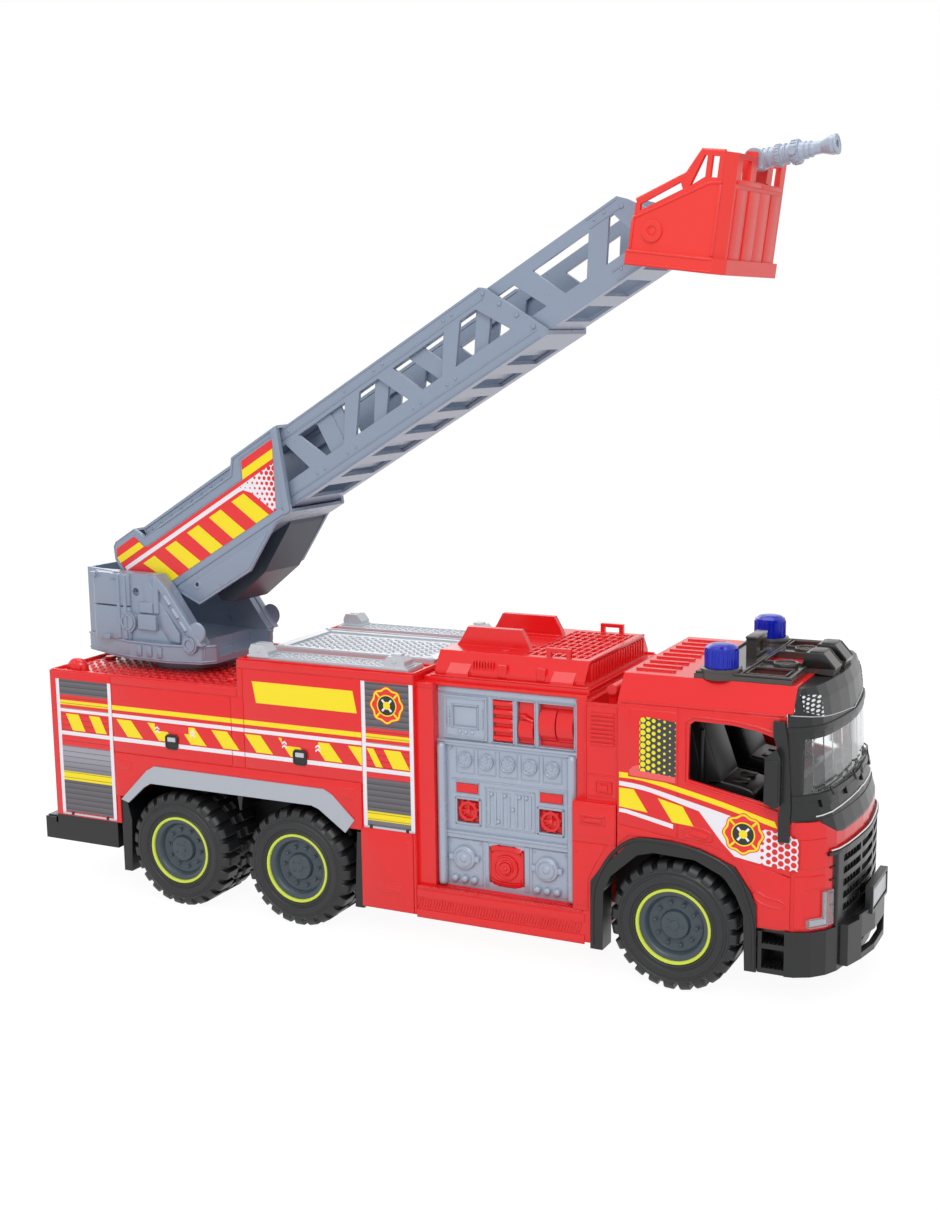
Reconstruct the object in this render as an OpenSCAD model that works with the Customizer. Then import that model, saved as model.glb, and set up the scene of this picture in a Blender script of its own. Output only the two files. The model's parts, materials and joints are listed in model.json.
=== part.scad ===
// Toy fire engine with a turntable ladder, a rescue basket and a water nozzle.
// Millimetres. +X is the truck's front, +Y its left side, +Z up, and the ground is z = 0.

/* [Body] */
// Width of the cab and body side panels
body_w = 153; // [120:0.5:190]
// Rear end of the bumper step.
rear_x = -312; // [-330:1:-305]
// Front end of the bumper.
front_x = 312; // [310.5:0.1:322]
// X of the body's rear face
body_rear_x = -298; // [-340:1:-260]
// X where the low rear deck ends and the tall body starts
deck_front_x = -128; // [-150:1:-110]
// X of the face between the tall body and the pump module
body_front_x = 14; // [6:1:24]
// Height of the low rear deck
deck_z = 168.5; // [150:0.5:180]
// Height of the tall body's roof
roof_z = 191; // [182:0.5:210]
// Height of the lowest edge of the side skirts
skirt_z = 23; // [14:0.5:32]
// Height of the body's lower edge behind the rear wheels
tail_z = 57; // [48:0.5:66]
// Thickness of the moulded walls
skin = 2.5; // [1.5:0.1:4]
// Underside of the floor above the wheels
floor_z = 92; // [89:0.5:100]
// X of the front end of the rear wheel wells
well_front_x = -29; // [-36:0.5:-22]
// X of the back end of the rear wheel wells
well_rear_x = -237; // [-246:0.5:-228]

/* [Pump module] */
// Distance of the pump panel's back face from the centre plane
recess_y = 62; // [54:0.5:70]
// X of the rear edge of the pump panel
panel_x0 = 27; // [20:0.5:36]
// X of the front edge of the pump panel
panel_x1 = 129; // [120:0.5:135]
// Height of the step under the pump panel
step_z = 44; // [30:0.5:47]
// Top of the pump panel
panel_top_z = 184; // [170:0.5:184.5]
// Top of the raised box on the pump module
cover_z = 205; // [198:0.5:215]
// Top of the two ridges that carry the lowered ladder
ridge_z = 218; // [210:0.5:222]

/* [Cab] */
// X of the cab's rear wall
cab_rear_x = 160; // [150:1:170]
// Height where the cab's side wall meets the roof
cab_wall_z = 186; // [176:0.5:196]
// Top of the cab roof
cab_roof_z = 203; // [196:0.5:212]
// Lower edge of the cab's front corner panels
cab_low_z = 51; // [49:0.5:64]
// Lower edge of the windscreen
glass_z0 = 137; // [128:0.5:144]
// Upper edge of the windscreen
glass_z1 = 171; // [164:0.5:180]

/* [Wheels] */
// Radius of every wheel
wheel_r = 43; // [36:0.5:50]
// X of the front axle
front_axle_x = 198; // [185:1:210]
// X of the middle axle
mid_axle_x = -82.5; // [-90:0.5:-76]
// X of the rear axle
rear_axle_x = -184; // [-192:0.5:-176]
// Width of a front tyre
front_tyre_w = 38; // [28:0.5:46]
// Width of a rear tyre
rear_tyre_w = 48; // [34:0.5:50]
// Radius of the opening in the tyre
rim_r = 25; // [20:0.5:28]
// Radius of the steel axle rods
axle_r = 2.5; // [2:0.1:4]
// Radial gap between an axle rod and a wheel
axle_gap = 0.06; // [0.02:0.01:0.1]

/* [Turntable and ladder] */
// X of the turntable's turning axis
tt_x = -218; // [-224:0.5:-212]
// Angle the turntable is turned by at rest
tt_yaw = -4.5; // [-20:0.5:20]
// Distance of the ladder's pivot behind the turning axis
pivot_back = 17; // [12:0.5:22]
// Height of the ladder's pivot
pivot_z = 228; // [220:0.5:236]
// Angle of the ladder above level at rest
pitch = 30; // [20:0.5:45]
// Outer width of the ladder housing
housing_w = 66; // [60:0.5:68]
// Length of the housing in front of the pivot
housing_l = 174; // [150:1:190]
// Outer width of the lower ladder section
outer_w = 56; // [50:0.5:58]
// Distance from the pivot to the lower section's front top corner
outer_l = 363; // [330:1:380]
// Gap between the sides of the two ladder sections.
slide_gap = 1.25; // [0.8:0.05:2]
// Wall thickness of the ladder sections.
ladder_t = 2.5; // [2:0.1:3]
// Distance from the pivot to the sliding section's front top corner
inner_l = 471; // [440:1:500]
// Radius of the pivot pins
pin_r = 3; // [2:0.1:4]
// Radial gap around a pivot pin
pin_gap = 0.06; // [0.02:0.01:0.1]

/* [Basket and nozzle] */
// Outer width of the basket
basket_w = 100; // [80:1:110]
// Length of the basket
basket_l = 62; // [54:1:72]
// Height of the basket from floor to top rail
basket_h = 69.5; // [60:0.5:80]
// Angle the basket leans forward at rest
basket_tilt = 7.5; // [0:0.5:15]
// Radius of the nozzle's tube
nozzle_r = 5.5; // [4:0.1:7]
// Radius of the nozzle's outlet bore
outlet_r = 2.5; // [1:0.1:3.5]

/* [Hidden] */
$fn = 64;
half_w = body_w / 2;
in_y = half_w - skin;
floor_top = floor_z + skin;
panel_t = 4;
arch_in_y = half_w - 14;
grille_y = half_w - 20.5;
inner_w = outer_w - 2 * ladder_t - 2 * slide_gap;
wide_y = half_w + 13.5;
wheel_y = half_w + 2.5;
// The cab's front in plan: x, y and the outward normal of each point, from the side to the middle.
front_line = [
  [264, half_w, 0, 1],
  [275, half_w - 1.5, 0.3, 0.95],
  [284, half_w - 6, 0.6, 0.8],
  [291, half_w - 13.5, 0.82, 0.57],
  [295.5, half_w - 22.5, 0.94, 0.33],
  [298, half_w - 34.5, 0.98, 0.17],
  [300, half_w - 50.5, 1, 0.1],
  [301.5, half_w - 68.5, 1, 0.04],
];
// Side view of the black windscreen surround: x and z.
mask_side = [
  [268, cab_wall_z + 2], [270, 160], [271, 120.5], [287, 120.5], [297, 110.5],
  [330, 110.5], [330, 230], [272, 230], [272, cab_wall_z + 2]
];
// How far the windscreen surround leans back from the front line: height and distance.
lean = [[98, 0], [112, 0], [glass_z0, 7.5], [glass_z1 + 2, 9], [cab_roof_z - 9, 12], [cab_roof_z - 1, 15]];
// Underside of the turntable's base plate.
base_z = 177;

// Both sides of the truck.
module sides() {
  children();
  mirror([0, 1, 0]) children();
}

// A box between two corners.
module box(a, b) {
  translate(a) cube(b - a);
}

// A side view polygon of x and z, made solid from y0 to y1.
module side_prism(points, y0, y1) {
  translate([0, y1, 0]) rotate([90, 0, 0]) linear_extrude(y1 - y0) polygon(points);
}

// A front view polygon of y and z, made solid from x0 to x1.
module front_prism(points, x0, x1) {
  translate([x0, 0, 0]) rotate([90, 0, 90]) linear_extrude(x1 - x0) polygon(points);
}

// A cylinder along y, centred on the side view point x, z, from y0 to y1.
module rod_y(x, z, r, y0, y1) {
  translate([x, y1, z]) rotate([90, 0, 0]) cylinder(r = r, h = y1 - y0);
}

// A cylinder along x.
module rod_x(y, z, r, x0, x1) {
  translate([x0, y, z]) rotate([0, 90, 0]) cylinder(r = r, h = x1 - x0);
}

// One side of the cab's front in plan, moved inwards by t and back by b.
function cab_half(t, b) = [for (p = front_line) [p[0] - t * p[2] - b, p[1] - t * p[3]]];

// The cab's outline in plan, moved inwards by t, with its front moved back by b.
function cab_plan(t, b = 0) = let (h = cab_half(t, b), n = len(h)) concat(
  [[cab_rear_x + t, half_w - t]], h,
  [for (i = [n - 1 : -1 : 0]) [h[i][0], -h[i][1]]],
  [[cab_rear_x + t, t - half_w]]
);

// A wall that follows the cab's outline, from t0 outside to t1 inside.
module cab_ring(t0, t1, z0, z1) {
  difference() {
    translate([0, 0, z0]) linear_extrude(z1 - z0) polygon(cab_plan(t0));
    translate([0, 0, z0 - 1]) linear_extrude(z1 - z0 + 2) polygon(cab_plan(t1));
  }
}

// The cab's upper part, moved inwards by t, with its front leaning back and its roof edges cut off.
module nose(t) {
  intersection() {
    union() for (i = [0 : len(lean) - 2]) hull() {
      translate([0, 0, lean[i][0]]) linear_extrude(0.01) polygon(cab_plan(t, lean[i][1]));
      translate([0, 0, lean[i + 1][0]]) linear_extrude(0.01) polygon(cab_plan(t, lean[i + 1][1]));
    }
    front_prism([
      [-half_w, 90 - t], [half_w, 90 - t], [half_w, cab_wall_z - t], [half_w - 1, cab_wall_z + 2 - t],
      [half_w - 12, cab_roof_z - 1 - t], [12 - half_w, cab_roof_z - 1 - t], [1 - half_w, cab_wall_z + 2 - t],
      [-half_w, cab_wall_z - t]
    ], 200, 330);
  }
}

module chassis() {
  color([0.13, 0.13, 0.15])
  difference() {
    union() {
      difference() {
        box([body_rear_x + skin, -22, 32], [288, 22, floor_z]);
        box([body_rear_x + 2 * skin, -22 + skin, 31], [288 - skin, 22 - skin, floor_z - skin]);
      }
      box([well_rear_x - skin, -in_y, floor_z], [body_front_x, in_y, floor_top]);
      box([body_front_x, -recess_y + skin, floor_z], [cab_rear_x + skin, recess_y - skin, floor_top]);
      box([cab_rear_x + skin, -arch_in_y, floor_z], [268, arch_in_y, floor_top]);
      for (x = [mid_axle_x, rear_axle_x, front_axle_x])
        box([x - 6, -22, 36], [x + 6, 22, 50]);
    }
    for (x = [mid_axle_x, rear_axle_x, front_axle_x])
      rod_y(x, wheel_r, axle_r, -30, 30);
  }
}

module rear_body() {
  color([0.9, 0.12, 0.14])
  difference() {
    union() {
      // side walls, low deck and tall roof
      difference() {
        side_prism([
          [body_rear_x, tail_z], [body_rear_x, deck_z + 1.5], [deck_front_x, deck_z + 1.5],
          [deck_front_x, roof_z], [body_front_x, roof_z], [body_front_x, skirt_z],
          [well_front_x, skirt_z], [well_front_x, floor_top], [well_rear_x, floor_top], [well_rear_x, tail_z]
        ], -half_w, half_w);
        // tray of the low deck
        box([body_rear_x + skin, -in_y, deck_z], [deck_front_x, in_y, deck_z + 5]);
        // inside of the low part and the tall part
        box([body_rear_x + skin, -in_y, floor_top], [body_front_x - skin, in_y, deck_z - skin]);
        box([deck_front_x + skin, -in_y, deck_z - 5], [body_front_x - skin, in_y, roof_z - skin]);
        // tail box behind the rear wheels
        box([body_rear_x + skin, -in_y, tail_z + skin], [well_rear_x - skin, in_y, floor_top + 1]);
        // foot of the body in front of the rear wheels
        box([well_front_x + skin, -in_y, skirt_z + skin], [body_front_x - skin, in_y, floor_top + 1]);
        // room for the chassis floor
        box([well_rear_x - skin, -in_y, floor_z], [body_front_x + 1, in_y, floor_top + 1]);
      }
      // sloping corners of the wheel wells, behind the silver trims
      sides() side_prism([
        [well_rear_x - 1, 78], [well_rear_x + 6, 78], [well_rear_x + 21, floor_z + 1], [well_rear_x - 1, floor_z + 1]
      ], in_y, half_w);
      sides() side_prism([
        [well_front_x + 1, 78], [well_front_x - 9, 78], [well_front_x - 25, floor_z + 1], [well_front_x + 1, floor_z + 1]
      ], in_y, half_w);
      // short lips that carry the side walls over the wheels
      sides() box([well_rear_x - skin, in_y, floor_z], [well_front_x + skin, half_w, floor_top + 1]);
      // ring that holds the turntable's spigot
      translate([tt_x, 0, deck_z - 6]) cylinder(r = 26, h = 6);
    }
    box([body_rear_x - 1, -22, 20], [body_front_x + 1, 22, floor_z]);
    translate([tt_x, 0, deck_z - 10]) cylinder(r = 18 + pin_gap, h = 20);
  }
}

module pump_housing() {
  color([0.9, 0.12, 0.14])
  difference() {
    union() {
      // hollow core between the two panels
      difference() {
        box([body_front_x, -recess_y, skirt_z], [cab_rear_x - 24, recess_y, cab_wall_z]);
        box(
          [body_front_x + skin, -recess_y + skin, skirt_z + skin],
          [cab_rear_x - 24 - skin, recess_y - skin, cab_wall_z - skin]
        );
      }
      // frame round each panel: rear post, lintel, step and front post
      sides() {
        box([body_front_x, recess_y, skirt_z], [panel_x0, half_w - 3, cab_wall_z]);
        box([panel_x0, recess_y, panel_top_z], [panel_x1, half_w - 8, cab_wall_z]);
        box([body_front_x, recess_y, skirt_z], [cab_rear_x - 1, half_w, step_z]);
        box([panel_x1, recess_y, step_z], [cab_rear_x - 1, half_w, 118]);
        box([panel_x1, recess_y, 118], [cab_rear_x - 24, half_w - 8, cab_wall_z]);
      }
      // narrow column and trough between the module and the cab
      difference() {
        box([cab_rear_x - 24, -half_w + 4, skirt_z], [cab_rear_x - 1, half_w - 4, 183]);
        box(
          [cab_rear_x - 24 + skin, -half_w + 4 + skin, skirt_z + skin],
          [cab_rear_x - 1 - skin, half_w - 4 - skin, 170]
        );
        box([cab_rear_x - 24 + skin, -half_w + 4 + skin, 172], [cab_rear_x - 1 - skin, half_w - 4 - skin, 190]);
      }
      // rounded bar over the trough
      rod_y(cab_rear_x - 11, 189, 3.5, -58, 58);
      sides() box([cab_rear_x - 13.5, 50, 172], [cab_rear_x - 8.5, 56, 189]);
    }
    // spine and floor of the chassis
    box([body_front_x - 1, -22, 20], [cab_rear_x + 1, 22, floor_z]);
    box([body_front_x - 1, -recess_y + skin, floor_z], [cab_rear_x + 5, recess_y - skin, floor_top]);
    // front wheel well
    round_wheel(arch_out, -half_w - 1, half_w + 1);
  }
}

module pump_cover() {
  color([0.9, 0.12, 0.14])
  union() {
    difference() {
      union() {
        box([body_front_x + 2, -64, cab_wall_z], [cab_rear_x - 24, 64, cab_wall_z + 3]);
        front_prism([
          [-60, cab_wall_z + 3], [60, cab_wall_z + 3], [60, 193], [51, cover_z], [-51, cover_z], [-60, 193]
        ], body_front_x + 8, 131);
      }
      // hollow underside
      front_prism([
        [-57, cab_wall_z - 1], [57, cab_wall_z - 1], [57, 192], [49, cover_z - skin], [-49, cover_z - skin], [-57, 192]
      ], body_front_x + 11, 128);
      // shallow tray for the lattice on top
      box([82, -45, cover_z - 1.2], [127, 45, cover_z + 1]);
    }
    // two ridges that carry the lowered ladder
    sides() side_prism([
      [24, cover_z - 1], [28, 209], [33, ridge_z], [73, ridge_z], [78, 209], [80, cover_z - 1]
    ], 26, 31);
    // loop handles
    sides() for (x = [100, 114]) box([x, 47, cover_z - 0.5], [x + 3, 50, cover_z + 4]);
    sides() box([100, 47, cover_z + 4], [117, 50, cover_z + 6.5]);
    // raised trapezoid bosses along each side
    sides() for (x = [32, 108])
      front_prism([[58, cab_wall_z + 3], [63, cab_wall_z + 3], [63, 192], [55, 199], [52, 199]], x, x + 16);
  }
}

module pump_panels() {
  color([0.62, 0.66, 0.72])
  sides() difference() {
    union() {
      box([panel_x0, recess_y, step_z], [panel_x1, recess_y + panel_t, panel_top_z]);
      // grab bars beside the gauges
      for (x = [panel_x0 + 3.2, panel_x1 - 3.6])
        translate([x, recess_y + panel_t + 2, step_z + 3]) cylinder(r = 3.2, h = 95);
      // ledges under the upper row and over the lower row
      box([panel_x0, recess_y, 143.5], [panel_x1, recess_y + panel_t + 1.6, 147]);
      box([panel_x0 + 6, recess_y, 79], [panel_x1 - 7, recess_y + panel_t + 1.4, 83.5]);
      // five gauge rings
      for (i = [0 : 4]) rod_y(panel_x0 + 20 + i * 15.9, 134, 5.3, recess_y + 1, recess_y + panel_t + 1.4);
      // two round caps, with three knobs under each
      for (x = [panel_x0 + 19, panel_x0 + 80]) {
        rod_y(x, 65.3, 8.4, recess_y + 1, recess_y + panel_t + 1.8);
        for (k = [-1 : 1]) rod_y(x + 7.2 * k, 50.3, 2.7, recess_y + 1, recess_y + panel_t + 1.6);
      }
      // screen frame
      box([panel_x0 + 5, recess_y, 148.5], [panel_x0 + 37, recess_y + panel_t + 1.5, 178]);
    }
    // screen
    box([panel_x0 + 12, recess_y + 4.5, 157], [panel_x0 + 30, recess_y + 10, 171]);
    // three tall openings
    box([panel_x0 + 41, recess_y - 1, 148.5], [panel_x0 + 55.5, recess_y + 12, 177.5]);
    box([panel_x0 + 58.5, recess_y - 1, 148.5], [panel_x0 + 71, recess_y + 12, 177.5]);
    box([panel_x0 + 74, recess_y - 1, 148.5], [panel_x0 + 99, recess_y + 12, 177.5]);
    // two handwheel windows
    for (x = [panel_x0 + 13, panel_x0 + 73.5]) box([x, recess_y - 1, 90], [x + 17.5, recess_y + 12, 106.3]);
    // square valve window
    box([panel_x0 + 37, recess_y - 1, 50], [panel_x0 + 63, recess_y + 12, 75.5]);
  }
}

module panel_fittings() {
  color([0.9, 0.12, 0.14])
  sides() difference() {
    union() {
      // rolled hoses in the tall openings
      for (z = [151 : 6 : 175]) rod_x(recess_y + 2.2, z, 2.2, panel_x0 + 41.5, panel_x0 + 55);
      box([panel_x0 + 41.5, recess_y, 149], [panel_x0 + 55, recess_y + 2.2, 177]);
      box([panel_x0 + 59, recess_y, 149], [panel_x0 + 70.5, recess_y + 1.5, 177]);
      rod_x(recess_y - 4, 158, 9, panel_x0 + 59.5, panel_x0 + 70);
      for (x = [74.5, 87]) rod_x(recess_y - 8, 163, 13.8, panel_x0 + x, panel_x0 + x + 11.5);
      // handwheels
      for (x = [panel_x0 + 21.75, panel_x0 + 82.25]) {
        box([x - 8.5, recess_y, 90.3], [x + 8.5, recess_y + 1.5, 106]);
        difference() {
          rod_y(x, 98.1, 7, recess_y + 1, recess_y + 4.2);
          rod_y(x, 98.1, 4.8, recess_y + 2, recess_y + 5);
        }
        rod_y(x, 98.1, 2, recess_y + 1, recess_y + 4.8);
        box([x - 5.6, recess_y + 1, 97.3], [x + 5.6, recess_y + 3.6, 98.9]);
      }
      // label bars
      for (x = [panel_x0 + 13.5, panel_x0 + 75]) box([x, recess_y + panel_t, 111.3], [x + 16, recess_y + panel_t + 1.2, 117.3]);
      // square valve
      box([panel_x0 + 37.5, recess_y, 50.5], [panel_x0 + 62.5, recess_y + 3.2, 75]);
      rod_y(panel_x0 + 49.7, 62, 8.8, recess_y + 2, recess_y + 5);
      rod_y(panel_x0 + 49.7, 62, 4, recess_y + 4, recess_y + 6.5);
    }
    box([panel_x0, recess_y - 25, step_z], [panel_x1, recess_y, panel_top_z]);
  }
}

module cab_shell() {
  color([0.9, 0.12, 0.14])
  difference() {
    cab_ring(0, skin, cab_low_z, cab_wall_z);
    side_prism(mask_side, -wide_y, wide_y);
    // grille, bumper and wheel openings
    box([285, -grille_y, 40], [330, grille_y, 100]);
    box([cab_rear_x - 1, -22, 20], [cab_rear_x + 5, 22, floor_z]);
    box([cab_rear_x - 1, -recess_y + skin, floor_z], [cab_rear_x + 5, recess_y - skin, floor_top]);
    round_wheel(arch_out, -wide_y, wide_y);
    // front side windows
    side_prism([
      [207, 140.5], [264, 129], [262, 172.5], [250, 176], [235, 178], [211, 178.5], [207.5, 175.5]
    ], -wide_y, wide_y);
  }
}

module cab_roof() {
  color([0.9, 0.12, 0.14])
  difference() {
    union() {
      difference() {
        front_prism([
          [-half_w, cab_wall_z], [half_w, cab_wall_z], [half_w - 1, cab_wall_z + 2],
          [half_w - 12, cab_roof_z], [12 - half_w, cab_roof_z], [1 - half_w, cab_wall_z + 2]
        ], cab_rear_x, 272);
        front_prism([
          [-in_y, cab_wall_z - 1], [in_y, cab_wall_z - 1], [in_y, cab_wall_z + 1],
          [half_w - 13, cab_roof_z - skin], [13 - half_w, cab_roof_z - skin], [-in_y, cab_wall_z + 1]
        ], cab_rear_x + skin, 273);
      }
      // low ribs along the rear of the roof
      for (y = [-52 : 13 : 52]) box([cab_rear_x + 4, y - 1.5, cab_roof_z - 1], [cab_rear_x + 30, y + 1.5, cab_roof_z + 1.2]);
    }
    side_prism([
      [268 - 0.1, cab_wall_z - 2], [268, cab_wall_z + 2], [272, cab_wall_z + 2], [274, cab_wall_z + 2], [274, cab_wall_z - 2]
    ], -wide_y, wide_y);
  }
}

module windscreen_frame() {
  color([0.14, 0.14, 0.16])
  difference() {
    intersection() {
      nose(0);
      side_prism(mask_side, -wide_y, wide_y);
    }
    nose(skin);
    // glass opening, and the open lower end
    box([277, -wide_y, glass_z0], [330, wide_y, glass_z1]);
  }
}

module windscreen() {
  color([0.8, 0.9, 0.95, 0.35])
  difference() {
    intersection() {
      nose(0.6);
      box([277, -wide_y, glass_z0], [330, wide_y, glass_z1]);
    }
    nose(2.2);
  }
}

module grille() {
  color([0.14, 0.14, 0.16])
  difference() {
    intersection() {
      cab_ring(-2, 3, cab_low_z, 100);
      box([285, -grille_y, cab_low_z], [330, grille_y, 100]);
    }
    for (z = [59 : 8 : 91]) for (y = [-48 : 33 : 18]) box([280, y, z], [330, y + 30, z + 4.5]);
  }
}

module front_bumper() {
  color([0.14, 0.14, 0.16])
  difference() {
    union() {
      intersection() {
        cab_ring(-2, 3, 22, cab_low_z);
        box([270, -wide_y, 20], [330, wide_y, cab_low_z]);
      }
      // frame that stands out round the lower opening
      difference() {
        translate([0, 0, 24]) linear_extrude(30) polygon([
          [296, -50], [303, -50], [308, -34], [front_x, -14], [front_x, 14], [308, 34], [303, 50], [296, 50]
        ]);
        translate([0, 0, 20]) linear_extrude(36) polygon([
          [294, -44], [299, -44], [304, -30], [front_x - 4, -12], [front_x - 4, 12], [304, 30], [299, 44], [294, 44]
        ]);
      }
      // plate holder
      box([front_x - 5, -22, 50], [front_x, 22, 68]);
      // treads behind the front corners
      sides() for (z = [22, 38]) box([254, half_w - 16, z], [272, half_w, z + 3]);
      sides() box([254, half_w - 19, 22], [272, half_w - 16, 49]);
      sides() box([253, half_w - 19, 22], [255.5, half_w, 49]);
      sides() box([253, half_w - 19, 48], [280, half_w - 3, cab_low_z]);
      // arms to the chassis
      box([288, -24, 42], [301, 24, 46]);
    }
    // lower air opening
    box([290, -34, 28], [330, 34, 38]);
    // the grille's lip
    box([280, -grille_y, cab_low_z], [306.9, grille_y, 60]);
    box([front_x - 1, -20, 52], [front_x + 1, 20, 66]);
  }
}

module headlamps() {
  color([0.85, 0.9, 0.95, 0.4])
  sides() intersection() {
    cab_ring(-1.2, 0, 53.5, 76);
    union() {
      box([282, 40, 53.5], [330, wide_y, 59]);
      box([290, grille_y, 59], [330, wide_y, 76]);
    }
    box([280, grille_y + 1, 52], [330, wide_y, 95]);
  }
}

module mirrors() {
  color([0.14, 0.14, 0.16])
  sides() {
    // mirror housing
    side_prism([
      [257.5, 134], [264, 130.5], [267.5, 133], [267.5, 163], [265, 168], [258, 162]
    ], half_w + 3, half_w + 9);
    // bowed arm with its upper and lower feet
    side_prism([
      [261.5, 184], [268.5, 184], [270.5, 170], [272, 150], [273, 131], [272.5, 122], [272.5, 109],
      [265.5, 109], [265.5, 122], [266.5, 131], [266.5, 150], [265, 165], [261.5, 175]
    ], half_w, half_w + 4);
  }
}

module cab_interior() {
  color([0.12, 0.12, 0.13])
  difference() {
    union() {
    // bench base and rear bulkhead
    box([cab_rear_x + skin, -in_y, floor_top], [cab_rear_x + 10, in_y, 176]);
    difference() {
      box([cab_rear_x + 10, -arch_in_y, floor_top], [232, arch_in_y, 118]);
      box([cab_rear_x + 13, 3 - arch_in_y, floor_top - 1], [229, arch_in_y - 3, 115]);
      box([175, -10, 100], [240, 10, 120]);
    }
    // two seats
    sides() {
      side_prism([[196, 118], [236, 118], [238, 124], [210, 128], [200, 172], [190, 174]], 14, 52);
    }
    // dashboard
    side_prism([[260, floor_top], [266, floor_top], [276, 118], [276, 133], [268, 136], [256, 128]], -56, 56);
    // steering wheel and column
    translate([250, 34, 137]) rotate([0, -55, 0]) rotate_extrude() translate([13, 0]) circle(r = 1.6);
    translate([250, 34, 137]) rotate([0, -55, 0]) box([-13, -1.2, -1.2], [13, 1.2, 1.2]);
    translate([250, 34, 137]) rotate([0, 125, 0]) cylinder(r = 2, h = 18);
    }
    // room for the front arch
    round_wheel([for (p = arch_out) [p[0], p[1] + 1]], -in_y - 1, in_y + 1);
  }
}

module roof_rack() {
  color([0.3, 0.29, 0.27])
  union() {
    // side rails and cross rails
    difference() {
      box([206, -64, cab_roof_z], [268, 64, cab_roof_z + 3]);
      box([238, -58, cab_roof_z - 1], [262, -36, cab_roof_z + 5]);
      box([238, 36, cab_roof_z - 1], [262, 58, cab_roof_z + 5]);
      box([236, -16, cab_roof_z - 1], [262, 16, cab_roof_z + 5]);
      sides() translate([221, 55, cab_roof_z - 1]) cylinder(r = 9, h = 9);
    }
    // round pads under the beacons
    sides() translate([221, 55, cab_roof_z]) difference() {
      cylinder(r = 13, h = 5);
      translate([0, 0, -1]) cylinder(r = 9, h = 9);
    }
    // round vents
    sides() translate([254, 26, cab_roof_z]) cylinder(r = 8, h = 5);
    // rest for the lowered basket
    difference() {
      box([224, -12, cab_roof_z], [231, 12, 221]);
      box([223, -4, 210], [232, 4, 217]);
    }
    // two work lamps at the front edge
    sides() side_prism([
      [262, cab_roof_z], [272.5, cab_roof_z], [283.5, cab_roof_z - 0.9], [285, 207], [277, 216], [266, 216]
    ], 6, 24);
  }
}

module beacons() {
  color([0.1, 0.2, 0.85])
  sides() translate([221, 55, cab_roof_z]) union() {
    cylinder(r = 9, h = 5);
    translate([0, 0, 5]) cylinder(r = 10.2, h = 14);
    translate([0, 0, 19]) cylinder(r1 = 10.2, r2 = 8, h = 1.5);
  }
}

// Outline of the front arch, from the wheel's centre: x and z, and then its inner edge backwards.
arch_out = [
  [-56, -23], [-56, 23], [-50, 31], [-27, 54], [-16, 57], [17, 54], [40, 45], [50, 31], [54, 22], [54.5, -21]
];
arch_in = [
  [47, -21], [46, 15], [41, 27], [33, 38], [14, 46.5], [-13, 47.5], [-24, 44.5], [-42, 28], [-47, 17], [-47.5, -23]
];

// An outline round the front axle, solid on the left side from y0 to y1.
module round_wheel(points, y0, y1) {
  translate([front_axle_x, 0, wheel_r]) side_prism(points, y0, y1);
}

module front_arches() {
  color([0.14, 0.14, 0.16])
  sides() round_wheel(concat(arch_out, arch_in), arch_in_y, half_w + 1.5);
}

module rear_arches() {
  color([0.14, 0.14, 0.16])
  sides() {
    // mud flaps at both ends of the well
    side_prism([
      [well_rear_x, 20], [well_rear_x + 7, 20], [well_rear_x + 9, 60], [well_rear_x + 5, 76], [well_rear_x, 76]
    ], 30, half_w - 1);
    side_prism([
      [well_front_x - 7, 21], [well_front_x, 21], [well_front_x, 76], [well_front_x - 4, 76], [well_front_x - 5, 60]
    ], 30, half_w - 1);
    // dividing web between the two wheels
    side_prism([[-136, floor_z], [-130.5, floor_z], [-132.5, 78], [-134, 78]], 30, half_w - 6);
  }
}

module rear_trims() {
  color([0.68, 0.71, 0.76])
  sides() side_prism([
    [-234.5, 76.5], [-210, 101], [-203, 105], [-58, 104.5], [-51, 101], [-33.5, 84.6],
    [-41, 75], [-62, 89.5], [-68, 91.5], [-207, 91.5], [-213, 88], [-228, 74.5]
  ], half_w, half_w + 2);
}

module rear_bumper() {
  color([0.14, 0.14, 0.16])
  difference() {
    union() {
      box([rear_x, -in_y, 36], [body_rear_x, in_y, 49]);
      box([body_rear_x - 2, -in_y, 36], [well_rear_x - 6, in_y, tail_z]);
      sides() box([rear_x, 56, 36], [rear_x + 10, in_y, 53]);
    }
    // inside of the bumper, open below
    box([body_rear_x + 2, 4 - in_y, 35], [well_rear_x - 10, in_y - 4, tail_z - 3]);
    box([-300, -22, 31], [well_rear_x, 22, 60]);
  }
}

module walkways() {
  color([0.7, 0.72, 0.76])
  sides() {
    box([deck_front_x + 8, 50, roof_z], [body_front_x - 6, 72, roof_z + 2]);
    // end blocks
    side_prism([[-120, roof_z + 1], [-104, roof_z + 1], [-104, 197], [-108, 202], [-118, 202], [-120, 198]], 60, 72);
    side_prism([[-12, roof_z + 1], [4, roof_z + 1], [4, 198], [1, 201], [-9, 201], [-12, 198]], 58, 70);
  }
}

module roof_panel() {
  color([0.72, 0.74, 0.78])
  difference() {
    box([deck_front_x + 6, -38, roof_z], [body_front_x - 4, 38, roof_z + 3]);
    box([deck_front_x + 14, -30, roof_z + 1.8], [body_front_x - 12, 30, roof_z + 5]);
  }
}

module axles() {
  color([0.7, 0.7, 0.72])
  for (x = [mid_axle_x, rear_axle_x, front_axle_x])
    rod_y(x, wheel_r, axle_r, 6 - half_w, half_w - 6);
}

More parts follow.
